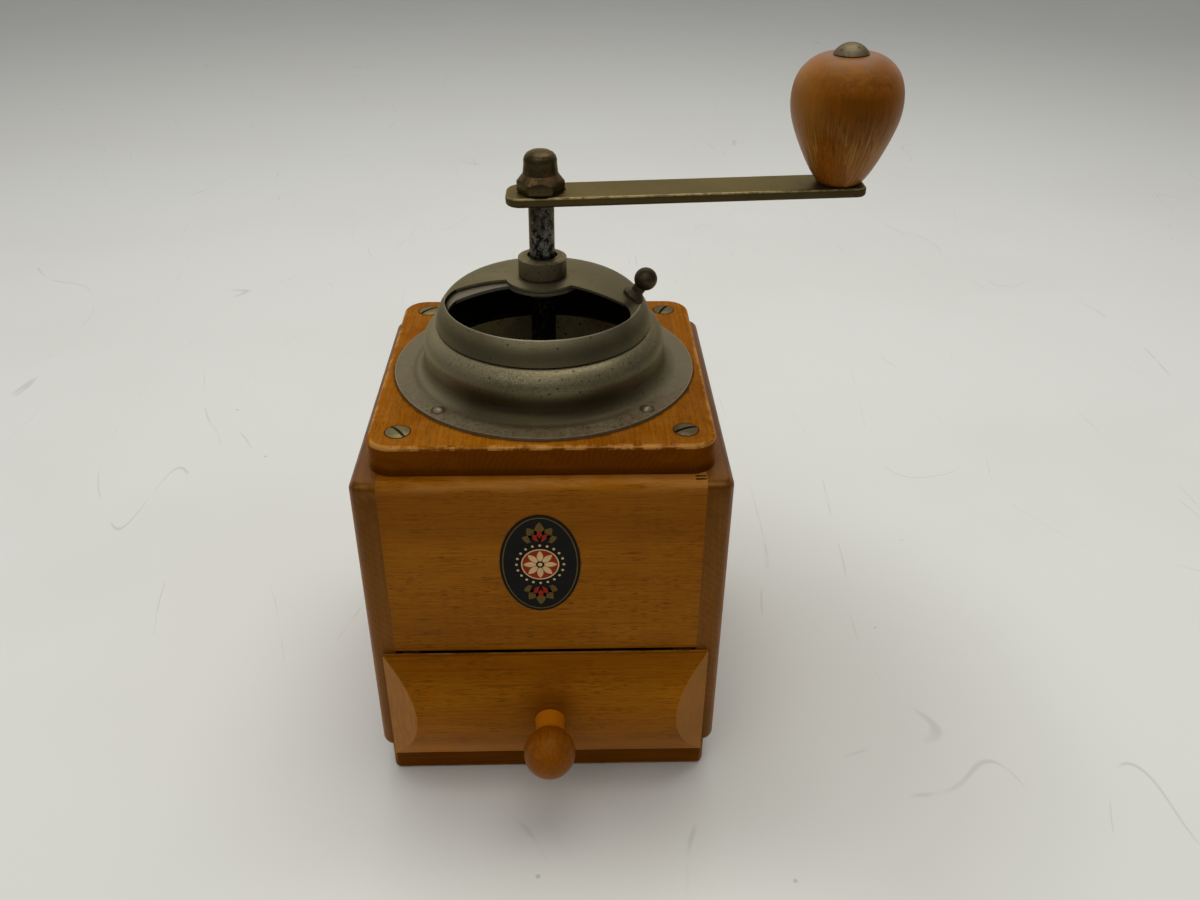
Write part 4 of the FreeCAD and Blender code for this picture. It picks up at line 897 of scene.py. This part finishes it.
def make_emblem():
    """Upright oval with a spray of leaves above and below a rosette in a ring of dots."""
    emblem = Emblem()
    half_x, half_z = emblem.half.x, emblem.half.z
    border, line = 0.8, 0.35
    emblem.oval(half_x, half_z, 0, "ink")
    emblem.oval(half_x - border, half_z - border, 1, "gold")
    emblem.oval(half_x - border - line, half_z - border - line, 2, "ink")

    spray = 8.6                     # from the centre to where the leaves start
    gold_width, ink_width, red_width = 3.3, 1.9, 1.7
    for side, upright in ((1, 0), (-1, 180)):
        for angle in (-72, -36, 0, 36, 72):
            length = 7.4 - 1.8 * abs(angle) / 72
            emblem.leaf(length, gold_width, 3, "gold", 0, side * spray, upright + angle)
            emblem.leaf(0.62 * length, ink_width, 4, "ink", 0, side * spray, upright + angle)
        for angle in (-38, 0, 38):
            length = 4.6 - abs(angle) / 38
            emblem.leaf(length, red_width, 5, "red", 0, side * spray, upright + angle)

    disc, dot_ring, dot = 8.9, 7.3, 0.42
    dots, petals = 20, 8
    emblem.oval(disc, disc, 6, "ink")
    for i in range(dots):
        x, z = at_bearing(360 * i / dots, dot_ring)
        emblem.oval(dot, dot, 7, "cream", x, z, count=14)
    rosette, rosette_line = 5.9, 0.4
    petal_start, petal_length, petal_width = 0.9, 4.3, 1.9
    eye, pupil = 1.3, 0.7
    emblem.oval(rosette, rosette, 7, "cream")
    emblem.oval(rosette - rosette_line, rosette - rosette_line, 8, "red")
    for i in range(petals):
        angle = 360 * i / petals
        x, z = at_bearing(angle, petal_start)
        emblem.leaf(petal_length, petal_width, 9, "cream", x, z, angle)
    emblem.oval(eye, eye, 10, "ink")
    emblem.oval(pupil, pupil, 11, "cream", count=24)
    piece = emblem.finish()
    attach(piece, "case")
    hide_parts("front_label")


# ---------------------------------------------------------------- stage
def make_floor():
    """Card, painted darker far away, with painted shade beside the mill and painted light in front, and
    with scratches and dust.
    """
    reach = 9.0                     # in metres, to each side
    drop = 0.0002                   # below the base plate, so that the two faces don't meet
    mesh = bpy.data.meshes.new("floor")
    corners = [(-reach, -reach), (reach, -reach), (reach, reach), (-reach, reach)]
    mesh.from_pydata([(x, y, -drop) for x, y in corners], [], [(0, 1, 2, 3)])
    floor = added("floor", mesh)
    g = Graph("floor_card")
    near, far = (0.712, 0.712, 0.672), (0.380, 0.381, 0.366)
    clouded = (0.52, 0.50, 0.45)
    shaded = (0.46, 0.445, 0.40)
    bright = (0.90, 0.89, 0.825)
    scratched = (0.33, 0.32, 0.29)
    dusty = (0.22, 0.2, 0.17)
    # Painted falloff of the light: the card darkens with distance from the mill
    colour = g.ramp(g.step(g.from_axis(), 250.0, 1800.0), [(0.0, near), (1.0, far)])
    cloud = g.noise(0.006, shift=3)
    colour = g.over(colour, clouded, g.step(cloud, 0.4, 0.7), 0.12)
    beside = g.distance(g.math("SUBTRACT", g.x, 75.0), g.math("ADD", g.y, 20.0))
    colour = g.over(colour, shaded, g.step(beside, 150.0, 40.0), 0.50)
    # Painted light on the card in front of the mill
    front = g.product(g.step(g.y, -75.0, -150.0), g.step(g.math("ABSOLUTE", g.x), 130.0, 40.0))
    colour = g.over(colour, bright, front, 0.90)
    lines = g.noise((0.011, 0.004, 0.01), detail=1, distortion=0.6, shift=8)
    scratch = g.step(g.math("ABSOLUTE", g.math("SUBTRACT", lines, 0.5)), 0.0022, 0.0004)
    broken = g.step(g.noise(0.03, detail=2, shift=12), 0.5, 0.62)
    colour = g.over(colour, scratched, scratch, broken, 0.32)
    dust = g.dots(0.035, radius=0.035, share=0.35, shift=21)
    colour = g.over(colour, dusty, dust, 0.35)
    mesh.materials.append(g.finish(Base_Color=colour, Roughness=0.55, Specular_IOR_Level=0.3))


def make_lamp(name, place, size, energy):
    """Round lamp that shines on the mill's middle."""
    target = Vector((0.0, 0.0, 0.1))
    data = bpy.data.lights.new(name, "AREA")
    data.shape = "DISK"
    data.size = size
    data.energy = energy
    data.color = (1.0, 0.99, 0.965)
    lamp = added(name, data)
    lamp.location = place
    lamp.rotation_euler = (Vector(place) - target).to_track_quat("Z", "Y").to_euler()


def make_world():
    """Studio light round about: bright above and behind the object, dim at the front horizon."""
    world = bpy.data.worlds.new("studio")
    world.use_nodes = True
    g = Tree(world.node_tree)
    x, y, z = g.parts(g.node("ShaderNodeTexCoord").outputs["Generated"])
    above = g.step(z, -0.05, 0.8, top=0.30)
    behind = g.step(y, 0.1, 0.9, top=0.45)
    left = g.step(x, 0.2, -0.8, top=0.14)
    everywhere = 0.10
    background = world.node_tree.nodes["Background"]
    g.feed(background.inputs["Strength"], g.total(above, behind, left, everywhere))
    g.feed(background.inputs["Color"], (1.0, 0.995, 0.985))
    bpy.context.scene.world = world


def make_camera():
    """The photo's camera, solved from the edges and corners that it shows."""
    yaw = math.radians(1.881)
    pitch = math.radians(32.070)
    roll = math.radians(0.547)
    ahead = Vector((math.sin(yaw) * math.cos(pitch), math.cos(yaw) * math.cos(pitch), -math.sin(pitch)))
    level = Vector((math.cos(yaw), -math.sin(yaw), 0.0))
    upward = level.cross(ahead)
    right = level * math.cos(roll) + upward * math.sin(roll)
    up = upward * math.cos(roll) - level * math.sin(roll)
    data = bpy.data.cameras.new("camera")
    data.sensor_width = 36.0
    data.lens = 31.430
    data.clip_start = 0.01
    camera = added("camera", data)
    place = Matrix((right, up, -ahead)).transposed().to_4x4()
    place.translation = Vector((0.008545, -0.313574, 0.292440))
    camera.matrix_world = place
    bpy.context.scene.camera = camera


make_camera()
make_world()
make_floor()
make_lamp("overhead", place=(0.14, 0.33, 1.30), size=1.2, energy=8.0)
make_lamp("front", place=(-0.30, -0.75, 1.25), size=1.3, energy=3.5)
bpy.context.scene.view_settings.view_transform = "Standard"
materials = dress_nodes()
make_cap_nut(materials["cap_nut"])
make_emblem()
